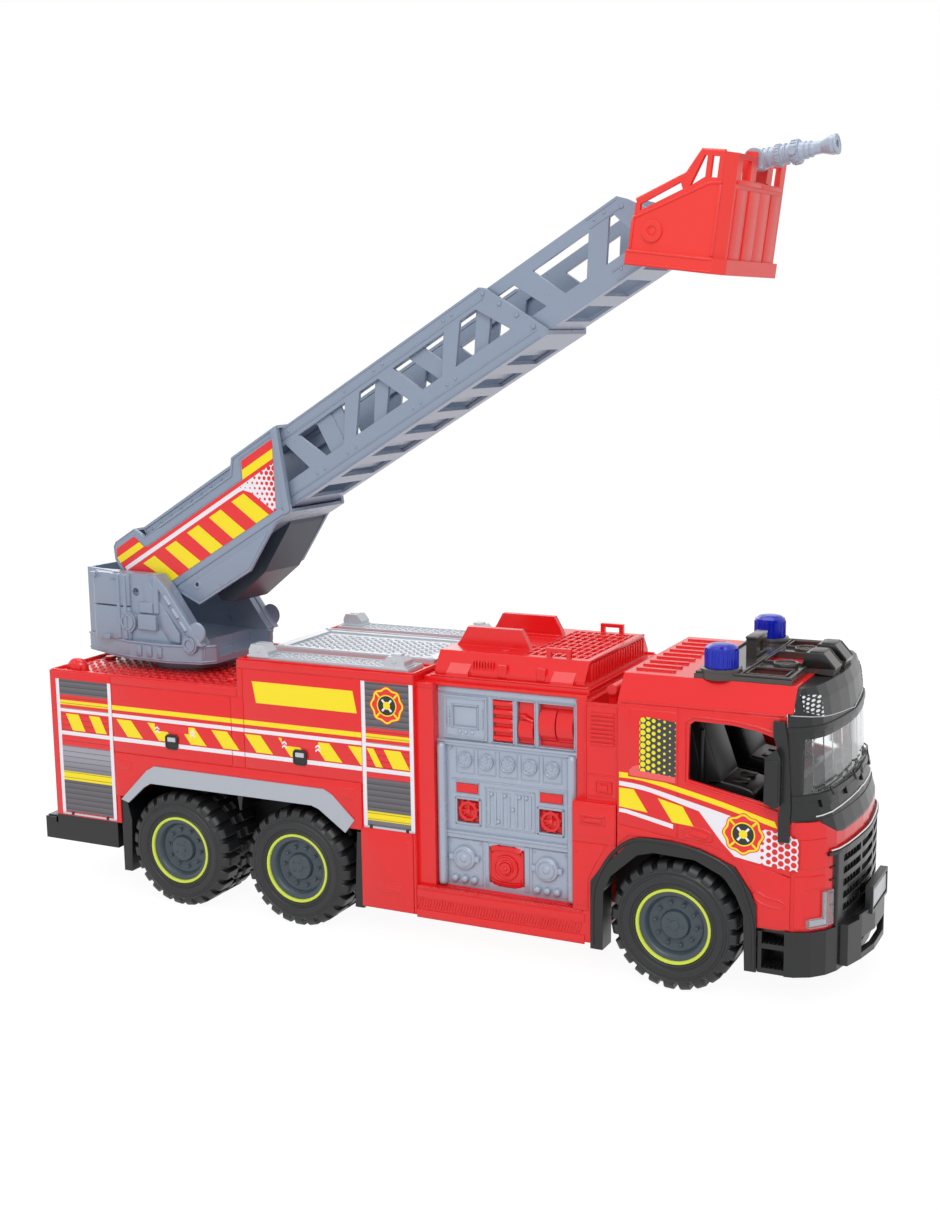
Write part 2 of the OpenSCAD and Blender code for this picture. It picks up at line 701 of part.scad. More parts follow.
// One tyre on the +y side: outer face at y = 0, w wide.
module tyre_shape(w) {
  rotate([-90, 0, 0]) rotate_extrude($fn = 96) polygon([
    [rim_r, -w + 2], [rim_r + 4, -w], [wheel_r - 5, -w], [wheel_r, -w + 5], [wheel_r, -5],
    [wheel_r - 5, -0.5], [rim_r + 6, -0.5], [rim_r, -2.5]
  ]);
}

// One hub on the +y side: a dish with a centre boss that turns on the axle.
module hub_shape(w) {
  rotate([-90, 0, 0]) difference() {
    union() {
      rotate_extrude($fn = 96) polygon([
        [0, -4.5], [8.5, -4.5], [9.5, -7], [18.5, -8], [20.5, -2.5], [23, -2],
        [rim_r, -3], [rim_r, -w + 3], [rim_r - 3, -w + 3], [rim_r - 3, -11], [7, -11], [7, -w + 1], [0, -w + 1]
      ]);
      for (a = [0 : 36 : 324]) rotate([0, 0, a]) translate([14, 0, -9]) cylinder(r = 1.2, h = 3, $fn = 24);
    }
    // blind bore for the axle
    translate([0, 0, -w - 1]) cylinder(r = axle_r + axle_gap, h = w - 7);
  }
}

// Places a left wheel piece, or its mirror image on the right.
module at_wheel(x, side) {
  translate([x, 0, wheel_r]) mirror([0, side < 0 ? 1 : 0, 0]) translate([0, wheel_y, 0]) children();
}

module tyre(x, side, w) {
  color([0.12, 0.12, 0.13]) at_wheel(x, side) tyre_shape(w);
}

module hub(x, side, w) {
  color([0.28, 0.34, 0.38]) at_wheel(x, side) hub_shape(w);
}

// The turntable's own frame: x forwards along the ladder, y to its left.
module turret() {
  translate([tt_x, 0, 0]) rotate([0, 0, tt_yaw]) children();
}

// The ladder's own frame: origin on the pivot, x along the ladder, z square to it.
module boom() {
  turret() translate([-pivot_back, 0, pivot_z]) rotate([0, -pitch, 0]) children();
}

// The basket's own frame: origin on the basket's pivot, x forwards, z up.
basket_a = 489.5;
basket_p = 2.5;
module in_basket() {
  boom() translate([basket_a, 0, basket_p]) rotate([0, pitch + basket_tilt, 0]) children();
}

cheek_y = housing_w / 2 + 1.5;

module turntable() {
  color([0.6, 0.64, 0.7])
  turret() difference() {
    union() {
      // bearing ring, spigot and the lip that holds it under the deck
      translate([0, 0, deck_z + 0.1]) cylinder(r = 32, h = base_z + 1 - deck_z);
      translate([0, 0, deck_z - 9]) cylinder(r = 18, h = 12);
      translate([0, 0, deck_z - 9]) cylinder(r = 21, h = 2.9);
      // base skirt with cut corners
      translate([0, 0, base_z]) linear_extrude(14) polygon([
        [49, -34], [42, -43], [14, -50], [-22, -50], [-40, -46], [-77, -34],
        [-77, 34], [-40, 46], [-22, 50], [14, 50], [42, 43], [49, 34]
      ]);
      // side cheeks and the rear wall round the ladder's foot
      difference() {
        intersection() {
          translate([0, 0, base_z + 5]) linear_extrude(80) polygon([
            [-77, -33], [-30, -46], [10, -45], [44, -41], [44, 41], [10, 45], [-30, 46], [-77, 33]
          ]);
          side_prism([[-80, base_z], [-80, 242], [3, 242], [12, 234], [40, 197], [46, 190], [46, base_z]], -60, 60);
        }
        translate([0, 0, base_z + 4]) linear_extrude(90) polygon([
          [-74.5, -31], [-60, -cheek_y], [60, -cheek_y], [60, cheek_y], [-60, cheek_y], [-74.5, 31]
        ]);
      }
      // round bosses at the foot of each cheek
      sides() rod_y(34, 192, 7, 38, 47);
      sides() rod_y(-24, 205, 8, 40, 49);
    }
    // inside of the skirt in front of the cheeks
    translate([0, 0, base_z + 5]) linear_extrude(20) polygon([
      [30, -31], [47, -31], [60, -31], [60, 31], [47, 31], [30, 31]
    ]);
    // seats of the ladder's pivot pin
    rod_y(-pivot_back, pivot_z, pin_r, -60, 60);
  }
}

module ladder_pin() {
  color([0.55, 0.57, 0.6])
  turret() rod_y(-pivot_back, pivot_z, pin_r, -cheek_y - 7, cheek_y + 7);
}

module ladder_housing() {
  color([0.58, 0.62, 0.69])
  boom() difference() {
    union() {
      // side plates, raised at both ends
      sides() side_prism([
        [-16, 34], [-12, 43], [-8, 45], [14, 45], [20, 35], [118, 35], [126, 45.5], [housing_l, 45.5],
        [housing_l - 22, -12.5], [136, -12.5], [96, -32], [40, -32], [26, -14], [-12, -8]
      ], housing_w / 2 - skin, housing_w / 2);
      // covers over both ends and the plate under the ladder
      box([-9, -housing_w / 2, 43], [14, housing_w / 2, 45]);
      box([126, -housing_w / 2, 43.2], [housing_l, housing_w / 2, 45.5]);
      box([36, -housing_w / 2, -12.5], [152, housing_w / 2, -10]);
      // rear cover
      side_prism([[-16, 34], [-12, 43], [-8, 45], [-6, 45], [-6, 42], [-13, 34], [-10, -7], [-12, -8]], -housing_w / 2, housing_w / 2);
      // packing strips that hold the lower ladder section
      sides() for (a = [44, 136]) box([a, outer_w / 2, -11], [a + 8, housing_w / 2 - 1, 30]);
    }
    // the pivot pin runs in both side plates
    rod_y(0, 0, pin_r + pin_gap, -60, 60);
  }
}

module ladder_belly() {
  color([0.22, 0.25, 0.3])
  boom() difference() {
    side_prism([[40, -12.5], [44, -34], [52, -39.5], [92, -34], [131, -14.5], [133, -12.5]], -12, housing_w / 2 - skin);
    side_prism([[43, -10], [46, -32], [52.5, -37], [91, -31.8], [126, -14.5], [129, -10]], -9.5, housing_w / 2 - 2 * skin);
  }
}

// Height of the openings in a ladder side, and the length of one pair of braces.
bay_z0 = 8;
bay_z1 = 32;
bay_pitch = 93;

// The two openings of one pair of braces, from a to a + bay_pitch, cut through both sides.
module bays(a) {
  side_prism([[a + 24, bay_z0], [a + 42, bay_z0], [a + 58, bay_z1], [a + 11, bay_z1]], -60, 60);
  side_prism([[a + 54, bay_z0], [a + 104, bay_z0], [a + 90, bay_z1], [a + 72, bay_z1]], -60, 60);
}

module ladder_outer() {
  p0 = -8.5;
  p1 = 43;
  hw = outer_w / 2;
  color([0.6, 0.64, 0.71])
  boom() union() {
    difference() {
      side_prism([[18, p0], [18, p1 - 2], [20, p1], [outer_l - 2, p1], [outer_l + 2, p1 - 3], [outer_l + 28, -5], [outer_l + 26, p0]], -hw, hw);
      // channel for the sliding section
      side_prism([[17, p0 + ladder_t], [17, p1 + 1], [outer_l + 40, p1 + 1], [outer_l + 40, p0 + ladder_t]], ladder_t - hw, hw - ladder_t);
      // openings between the sloping braces
      side_prism([[150, bay_z0], [180, bay_z0], [170, bay_z1], [150, bay_z1]], -60, 60);
      bays(172.5);
      side_prism([[289.5, bay_z0], [307.5, bay_z0], [323.5, bay_z1], [276.5, bay_z1]], -60, 60);
      side_prism([[320, bay_z0], [368, bay_z0], [352, bay_z1], [338, bay_z1]], -60, 60);
      // gaps between the rungs on the underside
      for (a = [164 : 31 : 360]) box([a, -hw + 7, p0 - 1], [a + 19, hw - 7, p0 + 4]);
    }
    // flanges that hold the sliding section down
    sides() box([150, hw - 6, p1 - 2.3], [outer_l - 2, hw - 1, p1]);
  }
}

module ladder_inner() {
  p0 = -5.7;
  p1 = 40.3;
  hw = inner_w / 2;
  color([0.62, 0.66, 0.73])
  boom() union() {
    difference() {
      side_prism([[200, p0], [200, p1], [inner_l, p1], [inner_l + 5, p1 - 5], [inner_l + 26, 6], [inner_l + 22, p0]], -hw, hw);
      side_prism([[199, p0 + ladder_t], [199, p1 + 1], [inner_l + 40, p1 + 1], [inner_l + 40, p0 + ladder_t]], ladder_t - hw, hw - ladder_t);
      side_prism([[223, bay_z0], [241, bay_z0], [257, bay_z1], [223, bay_z1]], -60, 60);
      side_prism([[253, bay_z0], [303, bay_z0], [289, bay_z1], [271, bay_z1]], -60, 60);
      bays(292);
      side_prism([[411, bay_z0], [429, bay_z0], [444.5, bay_z1], [398.5, bay_z1]], -60, 60);
      side_prism([[444.5, bay_z0], [472, bay_z0], [464, bay_z1], [460.5, bay_z1]], -60, 60);
      for (a = [214 : 31 : 470]) box([a, -hw + 6, p0 - 1], [a + 19, hw - 6, p0 + 4]);
    }
    // sliding shoes at the hidden end
    sides() box([200, hw - 0.5, p0 + 1], [214, outer_w / 2 - ladder_t - 0.3, p1 - 2]);
    // trunnion that carries the basket
    rod_y(basket_a, basket_p, pin_r, -basket_w / 2 + 7, basket_w / 2 - 7);
    rod_y(basket_a, basket_p, 6, -hw, hw);
  }
}

module basket() {
  b0 = -15;
  b1 = b0 + basket_l;
  z0 = -21;
  z1 = z0 + basket_h;
  bw = basket_w / 2;
  hw = bw - 2;
  color([0.93, 0.25, 0.24])
  in_basket() difference() {
    union() {
      // floor tray with a raised band and cut front corners
      difference() {
        translate([0, 0, z0]) linear_extrude(9) polygon([[b0, -bw], [b1 - 6, -bw], [b1, -bw + 8], [b1, bw - 8], [b1 - 6, bw], [b0, bw]]);
        translate([0, 0, z0 + 2.5]) linear_extrude(9) polygon([[b0 - 1, -hw + 3], [b1 - 8, -hw + 3], [b1 - 5, -bw + 10], [b1 - 5, bw - 10], [b1 - 8, hw - 3], [b0 - 1, hw - 3]]);
      }
      // side panels
      sides() side_prism([[b0 + 1, z0 + 1], [b0 + 1, 6], [33, 30.5], [b1 - 7, 31], [b1 - 7, z0 + 1]], hw - 2.5, hw);
      sides() rod_y(0, 0, 6.5, hw - 7, hw + 0.8);
      // rear posts beside the ladder's opening
      sides() box([b0 + 1, 30, z0 + 1], [b0 + 3.5, hw - 1, 6]);
      // front corner plates
      sides() translate([0, 0, z0 + 1]) linear_extrude(basket_h - 1) polygon([[b1 - 8, hw], [b1 - 2, hw - 8], [b1 - 2, hw - 16], [b1 - 4.5, hw - 16], [b1 - 4.5, hw - 9], [b1 - 9, hw - 2.5]]);
      // front panel
      box([b1 - 4.5, -hw + 10, z0 + 1], [b1 - 2, hw - 10, 34]);
      sides() box([b1 - 4.5, 12, 33], [b1 - 2, 18, z1]);
      sides() box([b1 - 4.5, 12, z1 - 3], [b1 - 2, hw - 9, z1]);
      // side rails
      sides() difference() {
        side_prism([[b0 + 2, 7], [b0 + 2, 15], [b0 + 4, 17], [17, 33], [25, z1], [b1 - 7.5, z1], [b1 - 7.5, 30], [33, 30]], hw - 3, hw);
        side_prism([[b0 + 5, 11], [b0 + 5, 15], [14, 29.5], [16, 25.5]], 0, 90);
        side_prism([[20, 27.5], [29, 33.5], [29, z1 - 3], [27, z1 - 3]], 0, 90);
        side_prism([[32, 33.5], [b1 - 10.5, 33.5], [b1 - 10.5, z1 - 3], [32, z1 - 3]], 0, 90);
      }
      // cheeks of the nozzle mount
      sides() side_prism([
        [b1 - 9.5, z1 - 14], [b1 - 2, z1 - 14], [b1 - 2, z1], [b1 - 2.5, z1 + 3], [b1 - 8.5, z1 + 3], [b1 - 10, z1 - 2]
      ], 9, 12.5);
      box([b1 - 9, -12, z1 - 17], [b1 - 3, 12, z1 - 14]);
    }
    // opening in the floor and the rear for the ladder
    box([b0 - 1, -29, z0 - 1], [8, 29, 30]);
    // the trunnion runs in both side bosses
    rod_y(0, 0, pin_r + pin_gap, -bw + 6.7, bw - 6.7);
    // the nozzle's cross pin
    rod_y(b1 - 6, z1 - 1, 1.5 + pin_gap, -30, 30);
  }
}

module nozzle() {
  b1 = -15 + basket_l;
  z1 = -21 + basket_h;
  color([0.62, 0.65, 0.7])
  in_basket() translate([b1 - 6, 0, z1 - 1]) rotate([0, -14.5, 0]) difference() {
    union() {
      rod_y(0, 0, 1.5, -12.3, 12.3);
      rod_y(0, 0, 6.5, -7, 7);
      rod_x(0, 0, nozzle_r, -5, 27);
      rod_x(0, 0, nozzle_r + 1, 12, 15.5);
      rod_x(0, 0, nozzle_r + 1.5, 22, 27);
      translate([27, 0, 0]) rotate([0, 90, 0]) cylinder(r1 = nozzle_r, r2 = 3.8, h = 9);
      sides() rod_y(24.5, 0, 2.4, 4, 9.5);
      rod_x(0, 0, 3.8, 35, 41);
      translate([40, 0, 0]) rotate([0, 90, 0]) cylinder(r1 = 3.8, r2 = 5.8, h = 6);
      rod_x(0, 0, 5.8, 46, 49.5);
    }
    rod_x(0, 0, outlet_r, 29.5, 51);
  }
}

chassis();
rear_body();
pump_housing();
pump_cover();
pump_panels();
panel_fittings();
cab_shell();
cab_roof();
windscreen_frame();
windscreen();
grille();
front_bumper();
headlamps();
mirrors();
cab_interior();
roof_rack();
beacons();
front_arches();
rear_arches();
rear_trims();
rear_bumper();
walkways();
roof_panel();
axles();
tyre(front_axle_x, 1, front_tyre_w);  // tyre_front_left
hub(front_axle_x, 1, front_tyre_w);  // hub_front_left
tyre(front_axle_x, -1, front_tyre_w);  // tyre_front_right
hub(front_axle_x, -1, front_tyre_w);  // hub_front_right
tyre(mid_axle_x, 1, rear_tyre_w);  // tyre_middle_left
hub(mid_axle_x, 1, rear_tyre_w);  // hub_middle_left
tyre(mid_axle_x, -1, rear_tyre_w);  // tyre_middle_right
hub(mid_axle_x, -1, rear_tyre_w);  // hub_middle_right
tyre(rear_axle_x, 1, rear_tyre_w);  // tyre_rear_left
hub(rear_axle_x, 1, rear_tyre_w);  // hub_rear_left
tyre(rear_axle_x, -1, rear_tyre_w);  // tyre_rear_right
hub(rear_axle_x, -1, rear_tyre_w);  // hub_rear_right
turntable();
ladder_pin();
ladder_housing();
ladder_belly();
ladder_outer();
ladder_inner();
basket();
nozzle();
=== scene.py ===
"""A toy fire engine: its finishes and small moulded parts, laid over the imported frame.

Sizes in the classes are in millimetres in the frame's own axes: +X to the front, +Y to the left, +Z up.
"""

import json
import logging
import math
from dataclasses import dataclass
from enum import Enum
from typing import Callable, Iterable, Optional, Sequence

import bpy
from mathutils import Matrix, Vector

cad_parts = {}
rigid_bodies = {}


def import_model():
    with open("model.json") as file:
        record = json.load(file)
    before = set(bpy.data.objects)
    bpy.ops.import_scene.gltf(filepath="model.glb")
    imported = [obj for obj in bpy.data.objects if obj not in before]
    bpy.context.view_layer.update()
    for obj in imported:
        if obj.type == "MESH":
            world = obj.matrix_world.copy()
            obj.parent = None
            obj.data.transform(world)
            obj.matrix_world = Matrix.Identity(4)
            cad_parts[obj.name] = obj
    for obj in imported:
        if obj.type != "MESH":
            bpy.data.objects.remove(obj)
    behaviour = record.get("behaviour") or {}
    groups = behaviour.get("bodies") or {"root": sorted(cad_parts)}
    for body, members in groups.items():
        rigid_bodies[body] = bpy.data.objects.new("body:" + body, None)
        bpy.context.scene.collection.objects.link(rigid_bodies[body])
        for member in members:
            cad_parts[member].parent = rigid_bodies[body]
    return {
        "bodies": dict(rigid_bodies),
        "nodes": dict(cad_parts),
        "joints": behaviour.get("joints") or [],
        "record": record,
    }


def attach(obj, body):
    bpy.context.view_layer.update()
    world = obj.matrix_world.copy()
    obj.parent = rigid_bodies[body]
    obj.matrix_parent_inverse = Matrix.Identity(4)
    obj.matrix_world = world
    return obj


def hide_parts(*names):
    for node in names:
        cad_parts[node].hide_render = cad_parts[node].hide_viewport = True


log = logging.getLogger("fire_engine")

MM = 0.001
MERGE_WITHIN = 1e-6  # Corners closer than this, in metres, become one.
SUNK = 0.1  # How far a part reaches into the surface that it lies on.
Point2 = tuple[float, float]
Point3 = tuple[float, float, float]
Socket = bpy.types.NodeSocket
Object = bpy.types.Object


class View(Enum):
    """The view that an outline is drawn in."""

    SIDE = "side"
    FRONT = "front"
    PLAN = "plan"

    def point(self, u: float, v: float, depth: float) -> Vector:
        """Turns outline coordinates into a place in metres.

        Args:
            u: The outline's horizontal coordinate: x in side and plan views, y in the front view.
            v: The outline's other coordinate.
            depth: The coordinate across the view.

        Returns:
            The place in metres.
        """
        if self is View.SIDE:
            return Vector((u, depth, v)) * MM
        if self is View.FRONT:
            return Vector((depth, u, v)) * MM
        return Vector((u, v, depth)) * MM


# --- Modelling steps -------------------------------------------------------------------------------


def pick(obj: Object) -> Object:
    """Makes obj the only selected object, and the active one."""
    bpy.ops.object.select_all(action="DESELECT")
    obj.select_set(True)
    bpy.context.view_layer.objects.active = obj
    return obj


def named(name: str) -> Object:
    """Names the object that an operator has just added, and returns it."""
    obj = bpy.context.active_object
    obj.name = name
    obj.data.name = name
    return obj


def choose_faces(obj: Object, test: Callable[[Vector, Vector], bool]) -> int:
    """Selects faces by place and direction, and leaves the object in edit mode.

    Args:
        obj: The object to edit.
        test: Called with a face's centre in millimetres and its normal.

    Returns:
        How many faces are selected.
    """
    pick(obj)
    mesh = obj.data
    for item in (mesh.vertices, mesh.edges):
        item.foreach_set("select", [False] * len(item))
    chosen = [bool(test(face.center / MM, face.normal)) for face in mesh.polygons]
    mesh.polygons.foreach_set("select", chosen)
    bpy.ops.object.mode_set(mode="EDIT")
    bpy.ops.mesh.select_mode(type="FACE")
    return sum(chosen)


def leave_edit() -> None:
    """Goes back to object mode."""
    bpy.ops.object.mode_set(mode="OBJECT")


def applied(obj: Object, kind: str, **settings: object) -> Object:
    """Adds a modifier with its settings and applies it."""
    pick(obj)
    modifier = obj.modifiers.new(kind.title(), kind)
    for key, value in settings.items():
        setattr(modifier, key, value)
    bpy.ops.object.modifier_apply(modifier=modifier.name)
    return obj


def smoothed(obj: Object, angle: float = 32.0) -> Object:
    """Shades smooth across edges that turn by less than angle degrees."""
    pick(obj)
    bpy.ops.object.shade_smooth_by_angle(angle=math.radians(angle))
    return obj


def rounded(obj: Object, width: float, segments: int = 2, angle: float = 30.0) -> Object:
    """Rounds the edges that turn by more than angle degrees, by width millimetres."""
    if width > 0:
        applied(
            obj, "BEVEL", width=width * MM, segments=segments, limit_method="ANGLE",
            angle_limit=math.radians(angle), use_clamp_overlap=True, harden_normals=False,
        )
    return smoothed(obj)


def face_out(obj: Object) -> Object:
    """Merges doubled corners and turns every face outwards."""
    pick(obj)
    bpy.ops.object.mode_set(mode="EDIT")
    bpy.ops.mesh.select_all(action="SELECT")
    bpy.ops.mesh.remove_doubles(threshold=MERGE_WITHIN)
    bpy.ops.mesh.normals_make_consistent(inside=False)
    leave_edit()
    return obj


def block(name: str, low: Point3, high: Point3, round_by: float = 0.4, segments: int = 2) -> Object:
    """Makes a box with rounded edges between two corners.

    Args:
        name: The piece's name.
        low: Its lowest corner.
        high: Its highest corner.
        round_by: The radius of its edges.
        segments: How many steps each rounded edge has.

    Returns:
        The new object.
    """
    a, b = Vector(low) * MM, Vector(high) * MM
    bpy.ops.mesh.primitive_cube_add(size=1, location=(a + b) / 2)
    obj = named(name)
    obj.scale = b - a
    bpy.ops.object.transform_apply(location=True, rotation=True, scale=True)
    return rounded(obj, round_by, segments)


def plate(
    name: str, outline: Sequence[Point2], near: float, far: float, view: View = View.SIDE,
    round_by: float = 0.3, segments: int = 2,
) -> Object:
    """Makes a solid from an outline, from depth near to depth far.

    Args:
        name: The piece's name.
        outline: The outline's corners, in the view's two coordinates.
        near: Where the solid starts across the view.
        far: Where it ends.
        view: The view that the outline is drawn in.
        round_by: The radius of its edges.
        segments: How many steps each rounded edge has.

    Returns:
        The new object.
    """
    bpy.ops.mesh.primitive_circle_add(vertices=len(outline), fill_type="NGON")
    obj = named(name)
    for vertex, (u, v) in zip(obj.data.vertices, outline):
        vertex.co = view.point(u, v, near)
    bpy.ops.object.mode_set(mode="EDIT")
    bpy.ops.mesh.select_all(action="SELECT")
    step = view.point(0, 0, far) - view.point(0, 0, near)
    bpy.ops.mesh.extrude_region_move(TRANSFORM_OT_translate={"value": step})
    leave_edit()
    face_out(obj)
    return rounded(obj, round_by, segments)


def oblong(x0: float, z0: float, x1: float, z1: float) -> list[Point2]:
    """Draws the outline of a rectangle between two corners."""
    return [(x0, z0), (x1, z0), (x1, z1), (x0, z1)]


def pressed(
    obj: Object, test: Callable[[Vector, Vector], bool], margin: float, depth: float
) -> Object:
    """Insets the chosen faces by margin and moves their middle out by depth, or in if negative."""
    if choose_faces(obj, test):
        slope = min(abs(depth), margin) * 0.3
        bpy.ops.mesh.inset(thickness=margin * MM, depth=0, use_even_offset=True)
        bpy.ops.mesh.inset(thickness=slope * MM, depth=depth * MM, use_even_offset=True)
    leave_edit()
    return smoothed(obj)


def turned(
    name: str, profile: Sequence[Point2], place: Point3, axis: str = "Y", steps: int = 32,
    closed: bool = False,
) -> Object:
    """Spins a profile round an axis, as on a lathe.

    Args:
        name: The piece's name.
        profile: Points of radius and height along the axis.
        place: Where the axis and height 0 are.
        axis: The frame axis that heights run along.
        steps: How many steps one turn has.
        closed: Whether the profile is a loop that stays clear of the axis.

    Returns:
        The new object.
    """
    bpy.ops.mesh.primitive_circle_add(vertices=len(profile), fill_type="NOTHING")
    obj = named(name)
    for vertex, (radius, height) in zip(obj.data.vertices, profile):
        vertex.co = Vector((radius, 0, height)) * MM
    last = len(profile) - 1
    if not closed:
        mesh = obj.data
        mesh.vertices.foreach_set("select", [False] * len(mesh.vertices))
        mesh.edges.foreach_set("select", [set(edge.vertices) == {0, last} for edge in mesh.edges])
        bpy.ops.object.mode_set(mode="EDIT")
        bpy.ops.mesh.select_mode(type="EDGE")
        bpy.ops.mesh.delete(type="EDGE")
        leave_edit()
    bpy.ops.object.mode_set(mode="EDIT")
    bpy.ops.mesh.select_all(action="SELECT")
    bpy.ops.mesh.spin(steps=steps, angle=math.tau, center=(0, 0, 0), axis=(0, 0, 1))
    leave_edit()
    face_out(obj)
    turns = {
        "X": Matrix.Rotation(math.pi / 2, 4, "Y"), "Y": Matrix.Rotation(-math.pi / 2, 4, "X"),
        "Z": Matrix(),
    }
    turn = turns[axis]
    placed(obj, Matrix.Translation(Vector(place) * MM) @ turn)
    return smoothed(obj, 40)


def tube(name: str, path: Sequence[Point3], radius: float, closed: bool = False, steps: int = 3) -> Object:
    """Makes a round rod or wire along a path, as a mesh.

    Args:
        name: The piece's name.
        path: Its corners.
        radius: Its radius.
        closed: Whether it joins back to its start.
        steps: How fine its round section is.

    Returns:
        The new object.
    """
    bpy.ops.curve.primitive_nurbs_path_add()
    obj = named(name)
    curve = obj.data
    curve.splines.clear()
    spline = curve.splines.new("POLY")
    spline.points.add(len(path) - 1)
    for point, place in zip(spline.points, path):
        point.co = (*(Vector(place) * MM), 1)
    spline.use_cyclic_u = closed
    curve.dimensions = "3D"
    curve.bevel_depth = radius * MM
    curve.bevel_resolution = steps
    curve.use_fill_caps = not closed
    pick(obj)
    bpy.ops.object.convert(target="MESH")
    obj = bpy.context.active_object
    face_out(obj)
    return smoothed(obj, 50)


def rod(
    name: str, start: Point3, end: Point3, radius: float, steps: int = 20, chamfer: float = 0.3,
) -> Object:
    """Makes a round rod with softened rims between two points."""
    a, b = Vector(start), Vector(end)
    length = (b - a).length
    c = min(chamfer, radius * 0.45, length * 0.45)
    profile = [(0, 0), (radius - c, 0), (radius, c), (radius, length - c), (radius - c, length), (0, length)]
    obj = turned(name, profile, (0, 0, 0), "Z", steps)
    turn = (b - a).to_track_quat("Z", "Y").to_matrix().to_4x4()
    return placed(obj, Matrix.Translation(a * MM) @ turn)


def placed(obj: Object, matrix: Matrix) -> Object:
    """Moves obj by matrix and puts the move into its mesh."""
    pick(obj)
    obj.matrix_world = matrix @ obj.matrix_world
    bpy.ops.object.transform_apply(location=True, rotation=True, scale=True)
    return obj


def copied(obj: Object, name: str, matrix: Matrix) -> Object:
    """Copies obj with its own mesh, and moves the copy by matrix."""
    pick(obj)
    bpy.ops.object.duplicate(linked=False)
    return placed(named(name), matrix)


def mirrored(obj: Object, name: str) -> Object:
    """Copies obj to the other side of the centre plane."""
    twin = copied(obj, name, Matrix.Diagonal((1, -1, 1, 1)))
    return smoothed(face_out(twin), 40)


def joined(name: str, parts: Iterable[Object]) -> Object:
    """Joins parts of one moulding into one object."""
    parts = list(parts)
    bpy.ops.object.select_all(action="DESELECT")
    for part in parts:
        part.select_set(True)
    bpy.context.view_layer.objects.active = parts[0]
    if len(parts) > 1:
        bpy.ops.object.join()
    return named(name)


def on_both_sides(name: str, parts: Iterable[Object]) -> Object:
    """Joins parts made on one side with their mirror image."""
    one = joined(name, parts)
    return joined(name, [one, mirrored(one, name + "_twin")])


def shift(x: float, y: float, z: float) -> Matrix:
    """A move by millimetres."""
    return Matrix.Translation(Vector((x, y, z)) * MM)


def turned_by(degrees: float, axis: str) -> Matrix:
    """A turn round an axis, in degrees."""
    return Matrix.Rotation(math.radians(degrees), 4, axis)


def cut(obj: Object, cutter: Object) -> Object:
    """Cuts cutter's shape out of obj, and removes the cutter."""
    applied(obj, "BOOLEAN", operation="DIFFERENCE", object=cutter, solver="EXACT")
    bpy.data.objects.remove(cutter)
    return obj


# --- Shader building ---------------------------------------------------------------------------------


def linear(code: str) -> tuple[float, float, float, float]:
    """Turns a colour code such as #E02830 into linear RGBA."""
    values = [int(code[i : i + 2], 16) / 255 for i in (1, 3, 5)]
    r, g, b = (v / 12.92 if v <= 0.04045 else ((v + 0.055) / 1.055) ** 2.4 for v in values)
    return (r, g, b, 1.0)


class Wiring:
    """Adds and joins the nodes of one shader tree."""

    def __init__(self, tree: bpy.types.NodeTree) -> None:
        """Starts on a tree."""
        self.tree = tree

    def add(self, kind: str, settings: Optional[dict] = None, **inputs: object) -> bpy.types.Node:
        """Adds a node.

        Args:
            kind: The node's type, without the ShaderNode prefix.
            settings: Its own properties.
            **inputs: Socket name, with _ for a space, to a value or to another node's output.

        Returns:
            The node.
        """
        node = self.tree.nodes.new("ShaderNode" + kind)
        for key, value in (settings or {}).items():
            setattr(node, key, value)
        for key, value in inputs.items():
            self.feed(node.inputs[key.replace("_", " ")], value)
        return node

    def feed(self, socket: Socket, value: object) -> None:
        """Links a socket to an output, or sets its value."""
        if isinstance(value, bpy.types.NodeSocket):
            self.tree.links.new(value, socket)
        else:
            socket.default_value = value

    def math(self, operation: str, a: object, b: object = 0.0) -> Socket:
        """Adds a Math node and returns its output."""
        node = self.add("Math", {"operation": operation})
        self.feed(node.inputs[0], a)
        self.feed(node.inputs[1], b)
        return node.outputs[0]

    def between(self, value: object, low: float, high: float, soft: float) -> Socket:
        """A mask that is 1 where low < value < high, with soft edges."""
        up = self.ramp(value, low - soft, low + soft)
        down = self.ramp(value, high + soft, high - soft)
        return self.math("MULTIPLY", up, down)

    def ramp(self, value: object, start: float, end: float, low: float = 0.0, high: float = 1.0) -> Socket:
        """Maps value from start and end to low and high, and holds it between them."""
        node = self.add("MapRange", None, Value=value, From_Min=start, From_Max=end, To_Min=low, To_Max=high)
        return node.outputs[0]

    def mix(self, mask: object, first: object, second: object, blend: str = "MIX") -> Socket:
        """Mixes two colours by a mask and returns the colour."""
        node = self.add("Mix", {"data_type": "RGBA", "blend_type": blend})
        self.feed(node.inputs[0], mask)
        self.feed(node.inputs[6], first)
        self.feed(node.inputs[7], second)
        return node.outputs[2]

    def place(self) -> tuple[Socket, Socket, Socket, Socket]:
        """Object coordinates as (vector, x, y, z) in metres."""
        vector = self.add("TexCoord").outputs["Object"]
        split = self.add("SeparateXYZ", None, Vector=vector)
        return vector, split.outputs[0], split.outputs[1], split.outputs[2]


